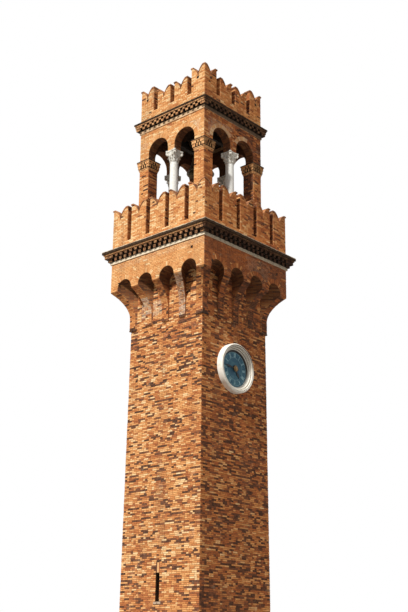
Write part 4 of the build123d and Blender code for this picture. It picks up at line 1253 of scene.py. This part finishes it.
# %% Door boards and ironwork
BOARDS, BOARD_GAP, BOARD_PROUD, TOP_MARGIN = 6, 0.006, 0.016, 0.01
STRAP_HEIGHTS, STRAP_HALF, STRAP_PROUD = (0.4, 1.5), 0.03, 0.024
STUDS, STUD_RADIUS = 7, 0.016
PULL_PLATE, PULL_PLATE_PROUD, PULL_RADIUS, PULL_WIRE = (0.045, 0.1), 0.02, 0.055, 0.009
PLATE_BEVEL = 0.004
door_low, door_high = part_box("entrance_door")
door_face = door_high.y
door_half = (door_high.x - door_low.x) / 2


def plate(form, left, right, low, high, proud):
    """A flat piece on the face of the door, with its edges taken off."""
    middle = Vector(((left + right) / 2, door_face + proud / 2, (low + high) / 2))
    cube = block(form, middle, (right - left, proud, high - low))
    bmesh.ops.bevel(form, geom=edges_of(cube), offset=PLATE_BEVEL, affect="EDGES", segments=1, profile=0.5,
                    material=-1)


def door_top(along):
    """Height of the round-headed door at a place across it."""
    return door_high.z - door_half + math.sqrt(max(door_half ** 2 - along ** 2, 0))


form = bmesh.new()
board = 2 * door_half / BOARDS
for number in range(BOARDS):
    left = -door_half + number * board
    top = min(door_top(left + TOP_MARGIN), door_top(left + board - TOP_MARGIN)) - TOP_MARGIN
    plate(form, left + BOARD_GAP, left + board - BOARD_GAP, door_low.z + 0.02, top, BOARD_PROUD)
show(form, "door_boards", "tower", OAK)

form = bmesh.new()
for high in STRAP_HEIGHTS:
    high += door_low.z
    plate(form, -door_half + 0.03, door_half - 0.08, high - STRAP_HALF, high + STRAP_HALF, STRAP_PROUD)
    for number in range(STUDS):
        along = -door_half + 0.1 + number * (2 * door_half - 0.25) / (STUDS - 1)
        bmesh.ops.create_uvsphere(form, u_segments=8, v_segments=5, radius=STUD_RADIUS, matrix=Matrix.Translation(
            (along, door_face + STRAP_PROUD, high)))
half, tall = PULL_PLATE
knob = Vector((door_half - 0.16, door_face + PULL_PLATE_PROUD, door_low.z + 1.0))
plate(form, knob.x - half, knob.x + half, knob.z - tall, knob.z + tall, PULL_PLATE_PROUD)
spin_ring(form, knob + Vector((0, PULL_PLATE_PROUD, -PULL_RADIUS)), PULL_RADIUS, PULL_WIRE, 8, 24)
show(form, "door_ironwork", "tower", FORGED_IRON)
print("boards on the door:", BOARDS)

# %% [markdown]
# Masons leave square holes in a wall for the poles of their scaffold. They show as small black squares below the
# notches at the corners of the upper crown, and here and there on the corbel table. Each is a block at the face of the
# wall whose black is painted shade of the hole.

# %% Scaffold holes
HOLE, HOLE_DEPTH, BELOW_NOTCH = 0.12, 0.04, 0.06
GALLERY_HOLES = ((-2.3, 17.3), (2.1, 17.95))
hole_places = [(side, along, GALLERY_HALF, high) for side in QUARTERS for along, high in GALLERY_HOLES]
hole_places += [
    (side, upper_crown.middle_of(number), upper_crown.half, upper_crown.head(number)[0] - BELOW_NOTCH)
    for side in QUARTERS for number in (0, 3)]
form = bmesh.new()
for side, along, out, high in hole_places:
    cosine, sine = QUARTERS[side]
    turn = Matrix.Rotation(math.atan2(sine, cosine), 4, "Z")
    block(form, spot(side, along, out, high), (HOLE, HOLE_DEPTH, HOLE), turn)
# painted shade: the holes are black blocks
show(form, "scaffold_holes", "tower", HOLE_SHADE)
print("scaffold holes:", len(hole_places))
